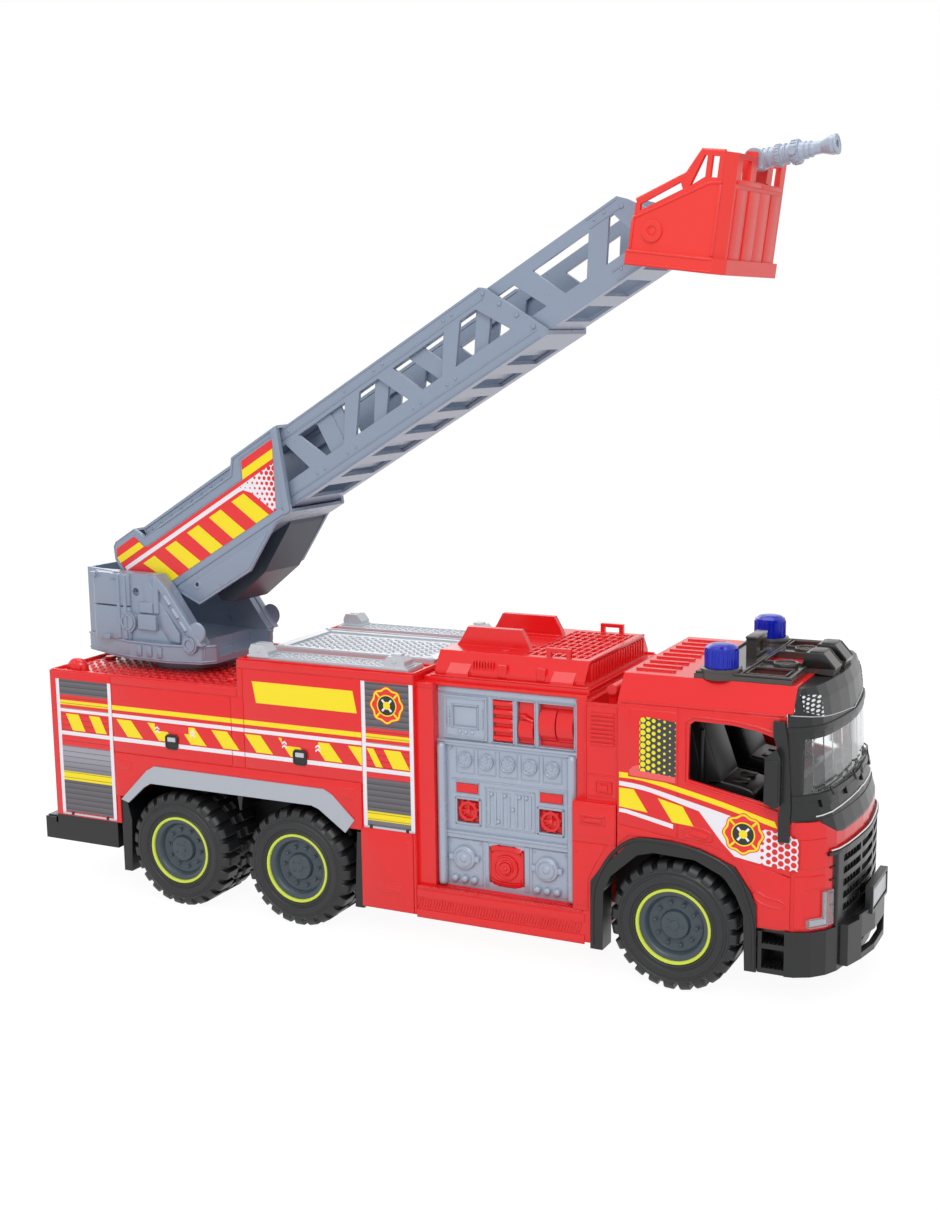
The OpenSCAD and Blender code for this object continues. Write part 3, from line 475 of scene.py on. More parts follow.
def new_group(
    name: str, inputs: dict[str, float], outputs: Sequence[str]
) -> tuple[bpy.types.NodeTree, Wiring, dict[str, Socket], bpy.types.Node]:
    """Starts a shader node group.

    Args:
        name: The group's name.
        inputs: Number sockets and their default values.
        outputs: Output names. "Normal" makes a vector socket and the rest make number sockets.

    Returns:
        The group, its wiring, its input sockets by name, and its output node.
    """
    tree = bpy.data.node_groups.new(name, "ShaderNodeTree")
    for key, value in inputs.items():
        socket = tree.interface.new_socket(name=key, in_out="INPUT", socket_type="NodeSocketFloat")
        socket.default_value = value
    for key in outputs:
        kind = "NodeSocketVector" if key == "Normal" else "NodeSocketFloat"
        tree.interface.new_socket(name=key, in_out="OUTPUT", socket_type=kind)
    start = tree.nodes.new("NodeGroupInput")
    end = tree.nodes.new("NodeGroupOutput")
    return tree, Wiring(tree), {key: start.outputs[key] for key in inputs}, end


def moulded_surface() -> bpy.types.NodeTree:
    """Builds the group that moulded finishes share: softened edges, faint grain, tone and rubbing."""
    name = "Moulded Surface"
    if name in bpy.data.node_groups:
        return bpy.data.node_groups[name]
    tree, wire, given, end = new_group(
        name, {"Edge": 0.0005, "Grain": 0.1, "Grain Scale": 900.0, "Relief": 0.0, "Relief Depth": 0.0003},
        ["Normal", "Tone", "Wear"],
    )
    soft = wire.add("Bevel", {"samples": 4}, Radius=given["Edge"]).outputs[0]
    vector = wire.add("TexCoord").outputs["Object"]
    fine = wire.add("TexNoise", None, Vector=vector, Scale=given["Grain Scale"], Detail=2.0).outputs[0]
    broad = wire.add("TexNoise", None, Vector=vector, Scale=60.0, Detail=2.0, Roughness=0.6).outputs[0]
    shaped = wire.add(
        "Bump", None, Distance=given["Relief Depth"], Height=given["Relief"], Normal=soft,
    ).outputs[0]
    grained = wire.add(
        "Bump", None, Strength=given["Grain"], Distance=0.00012, Height=fine, Normal=shaped
    ).outputs[0]
    sharp = wire.add("NewGeometry").outputs["Normal"]
    turn = wire.add("VectorMath", {"operation": "DOT_PRODUCT"})
    wire.feed(turn.inputs[0], soft)
    wire.feed(turn.inputs[1], sharp)
    edge = wire.ramp(turn.outputs["Value"], 0.97, 0.75)
    rubbed = wire.math("MULTIPLY", edge, wire.ramp(broad, 0.35, 0.75))
    tone = wire.math("SUBTRACT", wire.math("MULTIPLY", broad, 2.0), 1.0)
    wire.feed(end.inputs["Normal"], grained)
    wire.feed(end.inputs["Tone"], tone)
    wire.feed(end.inputs["Wear"], rubbed)
    return tree


def hex_dots() -> bpy.types.NodeTree:
    """Builds the group for a honeycomb of dots whose size follows an input."""
    name = "Honeycomb Dots"
    if name in bpy.data.node_groups:
        return bpy.data.node_groups[name]
    row_step, soft_rim, positive = 1.732, 0.02, 100
    tree, wire, given, end = new_group(name, {"U": 0.0, "V": 0.0, "Pitch": 0.003, "Size": 0.3}, ["Dot"])
    u = wire.math("DIVIDE", given["U"], given["Pitch"])
    v = wire.math("DIVIDE", given["V"], wire.math("MULTIPLY", given["Pitch"], row_step))
    best: Optional[Socket] = None
    for offset in (0.0, 0.5):
        a, b = (
            wire.math("SUBTRACT", wire.math("FRACT", wire.math("ADD", run, positive + offset)), 0.5)
            for run in (u, v)
        )
        b = wire.math("MULTIPLY", b, row_step)
        away = wire.math("SQRT", wire.math("ADD", wire.math("MULTIPLY", a, a), wire.math("MULTIPLY", b, b)))
        best = away if best is None else wire.math("MINIMUM", best, away)
    rim = wire.math("SUBTRACT", given["Size"], best)
    wire.feed(end.inputs["Dot"], wire.ramp(rim, -soft_rim, soft_rim))
    return tree


@dataclass(frozen=True)
class Finish:
    """A moulded plastic in one colour.

    Attributes:
        name: The material's name.
        colour: Its colour code.
        roughness: How dull it is, from 0 to 1.
        metallic: How metallic its pigment is.
        edge: The radius in millimetres that its edges look rounded by.
        grain: How strong its fine texture is.
        rub: How much its edges are rubbed lighter.
        tone: How much its colour drifts over the surface.
        slot: The record's material slot. It is not used.
    """

    name: str
    colour: str
    roughness: float = 0.33
    metallic: float = 0.0
    edge: float = 0.5
    grain: float = 0.10
    rub: float = 0.12
    tone: float = 0.02
    slot: str = "black_plastic"

    def paint(self, wire: Wiring) -> object:
        """Returns the colour before tone and wear."""
        return linear(self.colour)

    def relief(self, wire: Wiring) -> Optional[tuple[Socket, float]]:
        """Returns a height from 0 to 1 and its depth in millimetres, or None."""
        return None

    def finish_shader(self, shader: bpy.types.Node) -> None:
        """Sets the shader's own plain numbers."""
        shader.inputs["Metallic"].default_value = self.metallic

    def material(self) -> bpy.types.Material:
        """Builds the material once, and returns it after that."""
        if self.name in bpy.data.materials:
            return bpy.data.materials[self.name]
        material = bpy.data.materials.new(self.name)
        material.use_nodes = True
        wire = Wiring(material.node_tree)
        shader = material.node_tree.nodes["Principled BSDF"]
        group = wire.add("Group", {"node_tree": moulded_surface()}, Edge=self.edge * MM, Grain=self.grain)
        relief = self.relief(wire)
        if relief:
            wire.feed(group.inputs["Relief"], relief[0])
            group.inputs["Relief Depth"].default_value = relief[1] * MM
        base = self.paint(wire)
        tint = wire.math("ADD", 1.0, wire.math("MULTIPLY", group.outputs["Tone"], self.tone))
        shade = wire.add("CombineColor", None, Red=tint, Green=tint, Blue=tint).outputs[0]
        toned = wire.mix(1.0, base, shade, "MULTIPLY")
        worn = wire.math("MULTIPLY", group.outputs["Wear"], self.rub)
        wire.feed(shader.inputs["Base Color"], wire.mix(worn, toned, (0.9, 0.9, 0.9, 1.0)))
        rough = wire.math("ADD", self.roughness, wire.math("MULTIPLY", group.outputs["Tone"], 0.02))
        wire.feed(shader.inputs["Roughness"], rough)
        wire.feed(shader.inputs["Normal"], group.outputs["Normal"])
        self.finish_shader(shader)
        material.diffuse_color = linear(self.colour)
        return material


@dataclass(frozen=True)
class Clear(Finish):
    """A clear or tinted see-through plastic.

    Attributes:
        through: How much light passes, from 0 to 1.
    """

    through: float = 0.9

    def finish_shader(self, shader: bpy.types.Node) -> None:
        """Makes the shader pass light."""
        shader.inputs["Metallic"].default_value = 0.0
        shader.inputs["Transmission Weight"].default_value = self.through
        shader.inputs["IOR"].default_value = 1.45


@dataclass(frozen=True)
class Slats(Finish):
    """Printed roller shutter: grey slats with dark joints and coloured bands.

    Attributes:
        pitch: The height of one slat in millimetres.
        pale: Heights between which the slats turn pale.
        bands: Coloured bands, as low, high and colour code.
        light: The pale slats' colour code.
        sheen: The colour code of each slat's upper part.
        gap: The colour code of the joints.
    """

    pitch: float = 4.15
    pale: tuple[float, float] = (96.0, 124.0)
    bands: tuple[tuple[float, float, str], ...] = ()
    light: str = "#A9A7B4"
    sheen: str = "#8E8C92"
    gap: str = "#1E1D20"

    def joints(self, wire: Wiring) -> Socket:
        """Returns how far up its own slat a point is, from 0 to 1."""
        z = wire.place()[3]
        return wire.math("FRACT", wire.math("DIVIDE", z, self.pitch * MM))

    def paint(self, wire: Wiring) -> object:
        """Paints the slats, and the bands over them."""
        z = wire.place()[3]
        step = self.joints(wire)
        pale = wire.between(z, self.pale[0] * MM, self.pale[1] * MM, 0.010)
        colour = wire.mix(pale, linear(self.colour), linear(self.light))
        colour = wire.mix(wire.ramp(step, 0.2, 1.0, 0.0, 0.35), colour, linear(self.sheen))
        for low, high, code in self.bands:
            colour = wire.mix(wire.between(z, low * MM, high * MM, 0.0002), colour, linear(code))
        return wire.mix(wire.ramp(step, 0.16, 0.04, 0.0, 0.75), colour, linear(self.gap))

    def relief(self, wire: Wiring) -> Optional[tuple[Socket, float]]:
        """Curves each slat a little."""
        step = self.joints(wire)
        return wire.math("SINE", wire.math("MULTIPLY", step, math.pi)), 0.3


@dataclass(frozen=True)
class Dotted(Finish):
    """A film with a honeycomb of dots that grow along one direction.

    Attributes:
        dots: The dots' colour code.
        pitch: The distance between dots in millimetres.
        start: Where the dots are smallest, along the direction.
        end: Where they are largest.
        along: The direction, as x and z.
        sizes: The dots' smallest and largest radius, as parts of the pitch.
        lean: How far the dots' rows lean, in radians.
    """

    dots: str = "#FFE70C"
    pitch: float = 3.2
    start: float = 0.0
    end: float = 1.0
    along: Point2 = (1.0, 0.0)
    sizes: Point2 = (0.1, 0.5)
    lean: float = 0.0

    def paint(self, wire: Wiring) -> object:
        """Paints the dots over the ground colour."""
        _, x, _, z = wire.place()
        c, s = math.cos(self.lean), math.sin(self.lean)
        u = wire.math("ADD", wire.math("MULTIPLY", x, c), wire.math("MULTIPLY", z, s))
        v = wire.math("SUBTRACT", wire.math("MULTIPLY", z, c), wire.math("MULTIPLY", x, s))
        run = wire.math(
            "ADD", wire.math("MULTIPLY", x, self.along[0]), wire.math("MULTIPLY", z, self.along[1])
        )
        size = wire.ramp(run, self.start * MM, self.end * MM, *self.sizes)
        dots = wire.add("Group", {"node_tree": hex_dots()}, U=v, V=u, Size=size)
        dots.inputs["Pitch"].default_value = self.pitch * MM
        return wire.mix(dots.outputs[0], linear(self.colour), linear(self.dots))


FILM = {"edge": 0.1, "grain": 0.02, "rub": 0.0, "tone": 0.0, "slot": "red_plastic"}
VISOR_FILM = {**FILM, "slot": "black_plastic"}
YELLOW_CODE, WHITE_CODE, RED_CODE, SLAT_CODE = "#FFE70C", "#F3F0F7", "#EE2B2E", "#58565B"
STRIPES = ((144.3, 147.8, YELLOW_CODE), (138.8, 141.6, WHITE_CODE), (120.7, 123.8, WHITE_CODE))


class Paint:
    """The finishes of this truck."""

    RED = Finish("Red body plastic", "#EA1F22", 0.2, edge=0.7, grain=0.06, slot="red_plastic")
    CORAL = Finish("Basket red plastic", "#F23A33", 0.34, edge=0.6, grain=0.12, slot="basket_red")
    BLACK = Finish("Black trim plastic", "#17181A", 0.3, edge=0.6, grain=0.12, rub=0.06)
    WELL = Finish("Chassis black plastic", "#1D1E20", 0.5, edge=0.6, grain=0.2, rub=0.05)
    CABIN = Finish("Cabin black plastic", "#17181A", 0.4, edge=0.6, grain=0.15)
    TYRE = Finish("Tyre black plastic", "#202123", 0.42, edge=0.5, grain=0.2, rub=0.08, slot="tyre_plastic")
    HUB = Finish("Hub slate plastic", "#3F4B54", 0.36, edge=0.4, grain=0.10, slot="hub_plastic")
    LIME = Finish("Lime ring plastic", "#D8E84E", 0.34, edge=0.3, grain=0.06, slot="hub_plastic")
    SILVER = Finish("Silver grey plastic", "#A9B4C5", 0.27, 0.15, edge=0.6, grain=0.10, slot="silver_plastic")
    LADDER = Finish("Ladder grey plastic", "#8F9CB0", 0.28, 0.15, edge=0.6, grain=0.12, slot="silver_plastic")
    PALE = Finish("Pale silver plastic", "#C6CBD2", 0.3, 0.15, edge=0.5, grain=0.08, slot="silver_plastic")
    TRIM = Finish("Fender silver plastic", "#B2B8C2", 0.26, 0.2, edge=0.5, grain=0.06, slot="silver_plastic")
    SMOKE = Finish("Smoke grey plastic", "#45423F", 0.16, edge=0.5, grain=0.05, slot="smoke_plastic")
    # Painted shade: a dark slate that stands in for the shade inside the ladder housing, between its side
    # plates.
    PAINTED_SHADE_SLATE = Finish("Painted shade slate plastic", "#3A4350", 0.4, 0.1, edge=0.6, grain=0.12)
    STEEL = Finish("Axle steel", "#B4B6BA", 0.28, 1.0, edge=0.2, grain=0.05, slot="steel")
    CHROME = Finish("Bright trim", "#D9DADD", 0.12, 1.0, edge=0.2, grain=0.02, slot="steel")
    BLUE = Clear(
        "Blue beacon plastic", "#0E2FE0", 0.12, edge=0.4, grain=0.02, through=0.45, slot="blue_plastic",
    )
    GLASS = Clear(
        "Windscreen plastic", "#F4F8FA", 0.05, edge=0.3, grain=0.0, tone=0.0, rub=0.0, through=0.97,
        slot="clear_plastic",
    )
    TAIL = Finish("Tail lens red plastic", "#B80F12", 0.12, edge=0.4, grain=0.02, rub=0.0, slot="red_plastic")
    LENS = Clear(
        "Lamp lens plastic", "#F3F5F8", 0.07, edge=0.3, grain=0.0, tone=0.0, rub=0.0, through=0.85,
        slot="clear_plastic",
    )
    YELLOW = Finish("Yellow film", YELLOW_CODE, 0.24, **FILM)
    WHITE = Finish("White film", WHITE_CODE, 0.24, **FILM)
    RED_FILM = Finish("Red film", RED_CODE, 0.24, **FILM)
    DARK_FILM = Finish("Black film", "#232326", 0.24, **FILM)
    # Painted sheen: pink stands in for the reflection on a clear film that lies over the red cab.
    PAINTED_SHEEN_FILM = Finish("Clear film in painted sheen", "#F25F5E", 0.08, **FILM)
    REAR_SLATS = Slats(
        "Rear shutter film", SLAT_CODE, 0.3, **FILM,
        bands=((85.5, 92.5, YELLOW_CODE), (112.5, 152.0, RED_CODE), *STRIPES),
    )
    FRONT_SLATS = Slats(
        "Front shutter film", SLAT_CODE, 0.3, **FILM, pale=(80.0, 81.0),
        bands=((86.5, 93.0, YELLOW_CODE), (116.5, 152.0, RED_CODE), *STRIPES),
    )
    TAIL_SLATS = Slats(
        "Tail shutter film", SLAT_CODE, 0.3, **FILM, pale=(60, 61), bands=((70.0, 76.0, YELLOW_CODE),)
    )
    WINDOW_DOTS = Dotted(
        "Window dots film", "#3B3B40", 0.2, **FILM, dots="#F4E60F", pitch=4.1, start=200, end=174,
        sizes=(0.08, 0.47),
    )
    FENDER_DOTS = Dotted(
        "Cab dots film", WHITE_CODE, 0.24, **FILM, dots="#E2201F", pitch=4.6, start=246, end=262,
        sizes=(0.05, 0.4),
    )
    VISOR_DOTS = Dotted(
        "Visor dots film", "#232427", 0.3, **VISOR_FILM, dots="#E8E9EC", pitch=2.7, start=262, end=290,
        sizes=(0.24, 0.34),
    )
    LADDER_DOTS = Dotted(
        "Ladder dots film", WHITE_CODE, 0.24, **FILM, dots="#E2201F", pitch=4.3, start=34, end=60,
        along=(0.866, 0.5), sizes=(0.12, 0.42), lean=0.5236,
    )


NODE_PAINT: dict[str, Finish] = {
    "chassis": Paint.WELL, "rear_body": Paint.RED, "pump_housing": Paint.RED, "pump_cover": Paint.RED,
    "pump_panels": Paint.SILVER, "panel_fittings": Paint.RED, "cab_shell": Paint.RED, "cab_roof": Paint.RED,
    "windscreen_frame": Paint.BLACK, "windscreen": Paint.GLASS, "grille": Paint.BLACK,
    "front_bumper": Paint.BLACK, "headlamps": Paint.LENS, "mirrors": Paint.BLACK,
    "cab_interior": Paint.CABIN, "roof_rack": Paint.SMOKE, "beacons": Paint.BLUE,
    "front_arches": Paint.BLACK, "rear_arches": Paint.BLACK, "rear_trims": Paint.TRIM,
    "rear_bumper": Paint.BLACK, "walkways": Paint.PALE, "roof_panel": Paint.PALE, "axles": Paint.STEEL,
    "turntable": Paint.LADDER, "ladder_pin": Paint.STEEL, "ladder_housing": Paint.LADDER,
    # ladder_belly is coloured with painted shade: the dark slate of the shadowed housing interior.
    "ladder_belly": Paint.PAINTED_SHADE_SLATE, "ladder_outer": Paint.LADDER, "ladder_inner": Paint.LADDER,
    "basket": Paint.CORAL, "nozzle": Paint.SILVER,
}


def dress_frame(nodes: dict[str, Object]) -> None:
    """Gives every node of the frame its finish."""
    for name, node in nodes.items():
        kind = "tyre" if name.startswith("tyre") else "hub"
        finish = NODE_PAINT.get(name, Paint.TYRE if kind == "tyre" else Paint.HUB)
        if not node.material_slots:
            node.data.materials.append(finish.material())
        for slot in node.material_slots:
            slot.material = finish.material()


def finished(obj: Object, finish: Finish, body: str = "truck") -> int:
    """Gives a piece its finish and the body it rides on.

    Args:
        obj: The piece.
        finish: Its finish.
        body: The body it moves with.

    Returns:
        1, so that builders can count their pieces.
    """
    obj.data.materials.clear()
    obj.data.materials.append(finish.material())
    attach(obj, body)
    return 1


def single(
    name: str, parts: Iterable[Object], finish: Finish, body: str = "truck", place: Optional[Matrix] = None
) -> int:
    """Joins parts into one piece and gives it its place, finish and body.

    Args:
        name: The piece's name.
        parts: Its parts.
        finish: Its finish.
        body: The body it moves with.
        place: Where the axes that it was made in stand, if they aren't the frame's.

    Returns:
        How many pieces that is.
    """
    piece = joined(name, parts)
    return finished(placed(piece, place) if place else piece, finish, body)


def paired(
    name: str, parts: Iterable[Object], finish: Finish, body: str = "truck", place: Optional[Matrix] = None
) -> int:
    """Does the same as single, with the parts' mirror image on the other side."""
    return single(name, [on_both_sides(name, parts)], finish, body, place)


def around(obj: Object, count: int, centre: Point3 = (0, 0, 0), axis: Point3 = (0, 1, 0)) -> Object:
    """Repeats the whole mesh evenly round an axis, count times in all."""
    choose_faces(obj, lambda c, n: True)
    bpy.ops.mesh.spin(
        steps=count - 1, angle=math.tau * (count - 1) / count, center=Vector(centre) * MM, axis=axis,
        dupli=True,
    )
    leave_edit()
    return obj


def rows(obj: Object, count: int, step: Point3) -> Object:
    """Repeats the whole mesh count times, each step millimetres from the last."""
    if count < 2:
        return obj
    return applied(
        obj, "ARRAY", count=count, use_relative_offset=False, use_constant_offset=True,
        constant_offset_displace=Vector(step) * MM,
    )


@dataclass
class Wheels:
    """The six wheels: lugged tyres, lime rings and slate hubs with bolts.

    Attributes:
        radius: The tyre's radius over its lugs.
        out_y: The side of the wheel's outer face.
        lugs: How many lugs one shoulder has.
        axle_x: The place of each axle.
        widths: The tyre's width on each axle.
    """

    radius: float = 43.0
    out_y: float = 79.0
    lugs: int = 24
    axle_x: tuple[tuple[str, float], ...] = (("front", 198.0), ("middle", -82.5), ("rear", -184.0))
    widths: tuple[tuple[str, float], ...] = (("front", 38.0), ("middle", 48.0), ("rear", 48.0))

    def tyre(self, width: float) -> Object:
        """Makes one left tyre round the y axis, with its outer face at y = 0."""
        r, w = self.radius, width
        profile = [
            (25, -5), (25, -2.6), (25.6, -1.4), (26.8, -0.9), (27.4, -1.5), (28.6, -1.6), (29.1, -0.9),
            (31.2, -0.3), (33.4, -0.35), (33.9, -1.0), (35.2, -1.2), (35.7, -0.7), (36.6, -0.9),
            (38.2, -2.2), (39.7, -4.6), (40.3, -8), (40.3, 8 - w), (39.6, 4 - w), (37, 1 - w), (29, -w),
            (25, 2 - w),
        ]
        body = turned("tyre_body", profile, (0, 0, 0), "Y", 96, closed=True)
        lug = plate(
            "tyre_lug",
            [
                (-0.9, 36.8), (-1.1, 38.6), (-2.4, 41.2), (-4.6, r - 0.1), (-6, r), (-17.5, r), (-18.6, 40),
                (-8, 39.6), (-3, 38),
            ],
            -3.4, 3.4, View.FRONT, 0.5, 1,
        )
        middle = plate(
            "tyre_block", [(-20.5, 40), (-20.9, r - 0.4), (-w / 2 - 2, r), (-w / 2 - 3, 40)], -3.0, 3.0,
            View.FRONT, 0.4, 1,
        )
        inner = copied(
            lug, "tyre_lug_inner", Matrix.Translation((0, -w * MM, 0)) @ Matrix.Diagonal((1, -1, 1, 1)),
        )
        face_out(inner)
        turn = Matrix.Rotation(math.pi / self.lugs, 4, "Y")
        placed(inner, turn)
        placed(middle, turn)
        for part in (lug, inner, middle):
            around(part, self.lugs)
        return smoothed(joined("tyre", [body, lug, inner, middle]), 34)

    def hub(self, width: float) -> Object:
        """Makes one left hub round the y axis."""
        w = width
        profile = [
            (0, -4.0), (2.6, -4.0), (3.1, -4.3), (3.3, -4.9), (8.2, -4.9), (8.9, -5.2), (9.4, -6.0),
            (9.9, -8.2), (10.6, -8.6), (17.2, -8.7), (18.0, -8.2), (19.6, -4.4), (20.4, -3.6), (23.0, -3.0),
            (23.0, 8 - w), (21.5, 8 - w), (20.0, -12), (8, -12), (7, 1 - w), (0, 1 - w),
        ]
        body = turned("hub_body", profile, (0, 0, 0), "Y", 64)
        bolt = rod("hub_bolt", (14.0, -9.5, 0), (14.0, -6.9, 0), 1.35, 6, 0.35)
        nut = rod("hub_nut", (5.6, -5.4, 0), (5.6, -4.2, 0), 0.7, 8, 0.2)
        around(bolt, 10)
        around(nut, 5)
        return smoothed(joined("hub", [body, bolt, nut]), 34)

    def ring(self) -> Object:
        """Makes one left lime ring round the y axis."""
        profile = [
            (23.0, -3.4), (23.1, -1.9), (23.6, -1.3), (24.8, -1.2), (25.2, -1.7), (25.2, -5.5),
            (23.0, -5.5),
        ]
        return turned("ring", profile, (0, 0, 0), "Y", 72, closed=True)

    def build(self) -> int:
        """Makes every wheel, and returns how many pieces that is."""
        made = 0
        widths = dict(self.widths)
        originals: dict[float, list[tuple[str, Object, Finish]]] = {}
        for axle, x in self.axle_x:
            width = widths[axle]
            if width not in originals:
                originals[width] = [
                    ("tyre", self.tyre(width), Paint.TYRE), ("hub", self.hub(width), Paint.HUB),
                    ("ring", self.ring(), Paint.LIME),
                ]
            for side, sign in (("left", 1), ("right", -1)):
                place = Matrix.Translation(Vector((x, sign * self.out_y, self.radius)) * MM)
                flip = Matrix.Diagonal((1, sign, 1, 1))
                turn = Matrix.Rotation(0.07 * (x > 0) + 0.11 * (x < -100), 4, "Y")
                for kind, original, finish in originals[width]:
                    piece = copied(original, f"{kind}_{axle}_{side}_look", place @ flip @ turn)
                    if sign < 0:
                        face_out(piece)
                        smoothed(piece, 34)
                    made += finished(piece, finish, f"wheel_{axle}_{side}")
                    if kind != "ring":
                        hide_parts(f"{kind}_{axle}_{side}")
        for group in originals.values():
            for _, original, _ in group:
                bpy.data.objects.remove(original)
        return made


def badge(name: str, x: float, z: float, size: float, y: float) -> int:
    """Makes a plain scalloped badge on both sides: red and yellow petals round a black disc.

    Args:
        name: The start of the pieces' names.
        x: Its centre.
        z: Its centre's height.
        size: Its radius.
        y: The surface that it lies on.

    Returns:
        How many pieces it has.
    """

    def petals(scale: float, depth: float, rise: float) -> Object:
        """Makes a disc with eight scallops, which rises from the surface."""
        outline = []
        for i in range(64):
            a = math.tau * i / 64
            r = size * scale * (1 - depth * (0.5 - 0.5 * math.cos(8 * a)))
            outline.append((x + r * math.cos(a), z + r * math.sin(a)))
        return plate(name, outline, y, y + rise, round_by=0)

    def bar(degrees: float, start: float, end: float, half: float, rise: float) -> Object:
        """Makes a straight bar that runs out from the centre at an angle."""
        c, s = math.cos(math.radians(degrees)), math.sin(math.radians(degrees))
        corners = ((start, -half), (end, -half), (end, half), (start, half))
        outline = [(x + size * (r * c - w * s), z + size * (r * s + w * c)) for r, w in corners]
        return plate(name, outline, y, y + rise, round_by=0)

    layers = [
        ("edge", [petals(1.0, 0.1, 0.10)], Paint.RED_FILM),
        ("rim", [petals(0.95, 0.1, 0.14)], Paint.YELLOW),
        ("field", [petals(0.86, 0.12, 0.18)], Paint.RED_FILM),
        ("ring", [petals(0.56, 0.0, 0.22)], Paint.YELLOW),
        ("disc", [petals(0.5, 0.0, 0.26)], Paint.DARK_FILM),
        ("bars", [bar(a, -0.4, 0.4, 0.055, 0.3) for a in (-48, 48)], Paint.WHITE),
        ("spokes", [bar(a, 0.58, 0.9, 0.05, 0.22) for a in (45, 135, 225, 315)], Paint.YELLOW),
        ("core", [petals(0.2, 0.0, 0.34)], Paint.YELLOW),
    ]
    return sum(paired(f"{name}_{part}", parts, finish) for part, parts, finish in layers)


# The upper and lower edges of the row of slanted blocks.
BAND_TOP, BAND_LOW = 137.5, 124.8


@dataclass
class BodySides:
    """The rear body's side panels, stripes, shutters, latches and badges.

    Attributes:
        wall: The side wall of the frame.
        skin: How far the panels stand out.
        film: How far the films stand out from the panels.
    """

    wall: float = 76.5
    skin: float = 0.5
    film: float = 0.12

    def panels(self) -> int:
        """Lays rounded panels over the walls, with seams between them."""
        w, out = self.wall - SUNK, self.wall + self.skin
        outlines = [
            oblong(-297.7, 57.6, -240.9, 169.7),
            oblong(-240.3, 164.0, -128.4, 169.7),
            oblong(-240.3, 112.4, -134.2, 163.4),
            oblong(-133.6, 112.4, -123.4, 163.4),
            [(-122.8, 112.4), (-27.2, 112.4), (-27.2, 81.9), (13.7, 81.9), (13.7, 184.8), (-122.8, 184.8)],
            oblong(-127.7, 164.0, -123.4, 184.8),
            oblong(-127.7, 185.4, 13.7, 190.7),
        ]
        parts = [plate("panel", outline, w, out, round_by=0.28) for outline in outlines]
        low = [
            [
                (-240.3, 78.6), (-231.2, 78.6), (-216.8, 93.2), (-53.0, 93.2), (-38.6, 78.6), (-29.8, 78.6),
                (-27.8, 80), (-27.8, 111.8), (-240.3, 111.8),
            ],
            [(-29.0, 23.5), (11.6, 23.5), (11.6, 81.3), (-26.8, 81.3), (-29.0, 78.0)],
            oblong(12.2, 23.5, 13.8, 81.3),
        ]
        parts += [plate("panel", outline, w, out + 0.5, round_by=0.45) for outline in low]
        for x0, x1, z0, z1 in ((-237, -224, 100, 107), (-44, -33, 99, 107), (-17, 2.5, 36, 41.3)):
            parts += [
                block("relief", (x0, w, z0), (x1, out + 0.95, z1), 0.4),
                block("relief", (x0 + 2, w, z0 + 1.6), (x1 - 2, out + 1.3, z1 - 1.6), 0.3),
            ]
        for x, z in ((-295, 100), (-295, 140), (8, 30), (8, 74)):
            parts.append(rod("stud", (x, w, z), (x, out + 0.6, z), 1.1, 12, 0.3))
        return paired("side_panels", parts, Paint.RED)

    def graphics(self) -> int:
        """Lays the stripes, slanted blocks and shutter films."""
        out = self.wall + self.skin
        top = out + self.film
        yellow, white = [], []
        for low, high, code in STRIPES:
            target = white if code == WHITE_CODE else yellow
            for x0, x1 in ((-240.2, -134.2), (-133.6, -123.4), (-122.8, -26.8)):
                target.append(plate("stripe", oblong(x0, low, x1, high), out - SUNK, top, round_by=0))
        for i in range(8):
            x = -236.5 + 28.4 * i
            outline = [(x, BAND_TOP), (x + 13.4, BAND_TOP), (x + 23.6, BAND_LOW), (x + 9.8, BAND_LOW)]
            if i == 7:
                outline = [(x, BAND_TOP), (-26.8, BAND_TOP), (-26.8, BAND_LOW), (x + 9.8, BAND_LOW)]
            yellow.append(plate("block", outline, out - SUNK, top, round_by=0))
        for a, b, c, d in (
            (-284, -272, -266, -278), (-262, -252, -246, -256), (-22.9, -17.5, -10.5, -15.9),
            (-9.5, 3.5, 10.5, -2.5),
        ):
            outline = [(a, BAND_TOP), (b, BAND_TOP), (c, BAND_LOW), (d, BAND_LOW)]
            yellow.append(plate("block", outline, out, top + 0.12, round_by=0))
        yellow.append(plate(
            "band", [(-112, 161), (-30, 161), (-33, 176.5), (-115, 176.5)], out - SUNK, top, round_by=0,
        ))
        for x in (-290.4, -242.0, -24.8, 12.2):
            z0, z1 = (59.5, 164) if x < -100 else (81.9, 184.4)
            white.append(block("edge", (x - 1.5, out - SUNK, z0), (x + 1.5, out + 0.45, z1), 0.25))
        for x in (-199.5, -168, -89.5, -62):
            for k in (0, 1):
                z = 131.6 + 2.6 * k
                white.append(plate(
                    "mark",
                    [(x - 2, z - 1.4), (x, z), (x + 2, z - 1.4), (x + 2, z), (x, z + 1.5), (x - 2, z)], out,
                    top + 0.1, round_by=0,
                ))
        made = paired("stripes_yellow", yellow, Paint.YELLOW)
        made += paired("stripes_white", white, Paint.WHITE)
        rear = block("shutter", (-289.6, out - 0.2, 60.5), (-242.8, out + 0.15, 163.8), 0.1, 1)
        front = block("shutter", (-24.2, out - 0.2, 82.4), (11.6, out + 0.15, 184.0), 0.1, 1)
        made += paired("shutter_rear", [rear], Paint.REAR_SLATS)
        made += paired("shutter_front", [front], Paint.FRONT_SLATS)
        sills = []
        for x0, x1, z in ((-291.8, -240.6, 58.2), (-26.2, 13.6, 80.9)):
            sills.append(block("sill", (x0, out - 0.2, z), (x1, out + 0.6, z + 1.5), 0.3))
        made += paired("shutter_sills", sills, Paint.PALE)
        feet = []
        for x, z in ((-282, 58.0), (-249, 58.0), (-20.5, 80.7), (8, 80.7)):
            feet.append(block("foot", (x - 1.2, out, z), (x + 1.2, out + 1.0, z + 2.2), 0.3))
        return made + paired("shutter_feet", feet, Paint.BLACK)

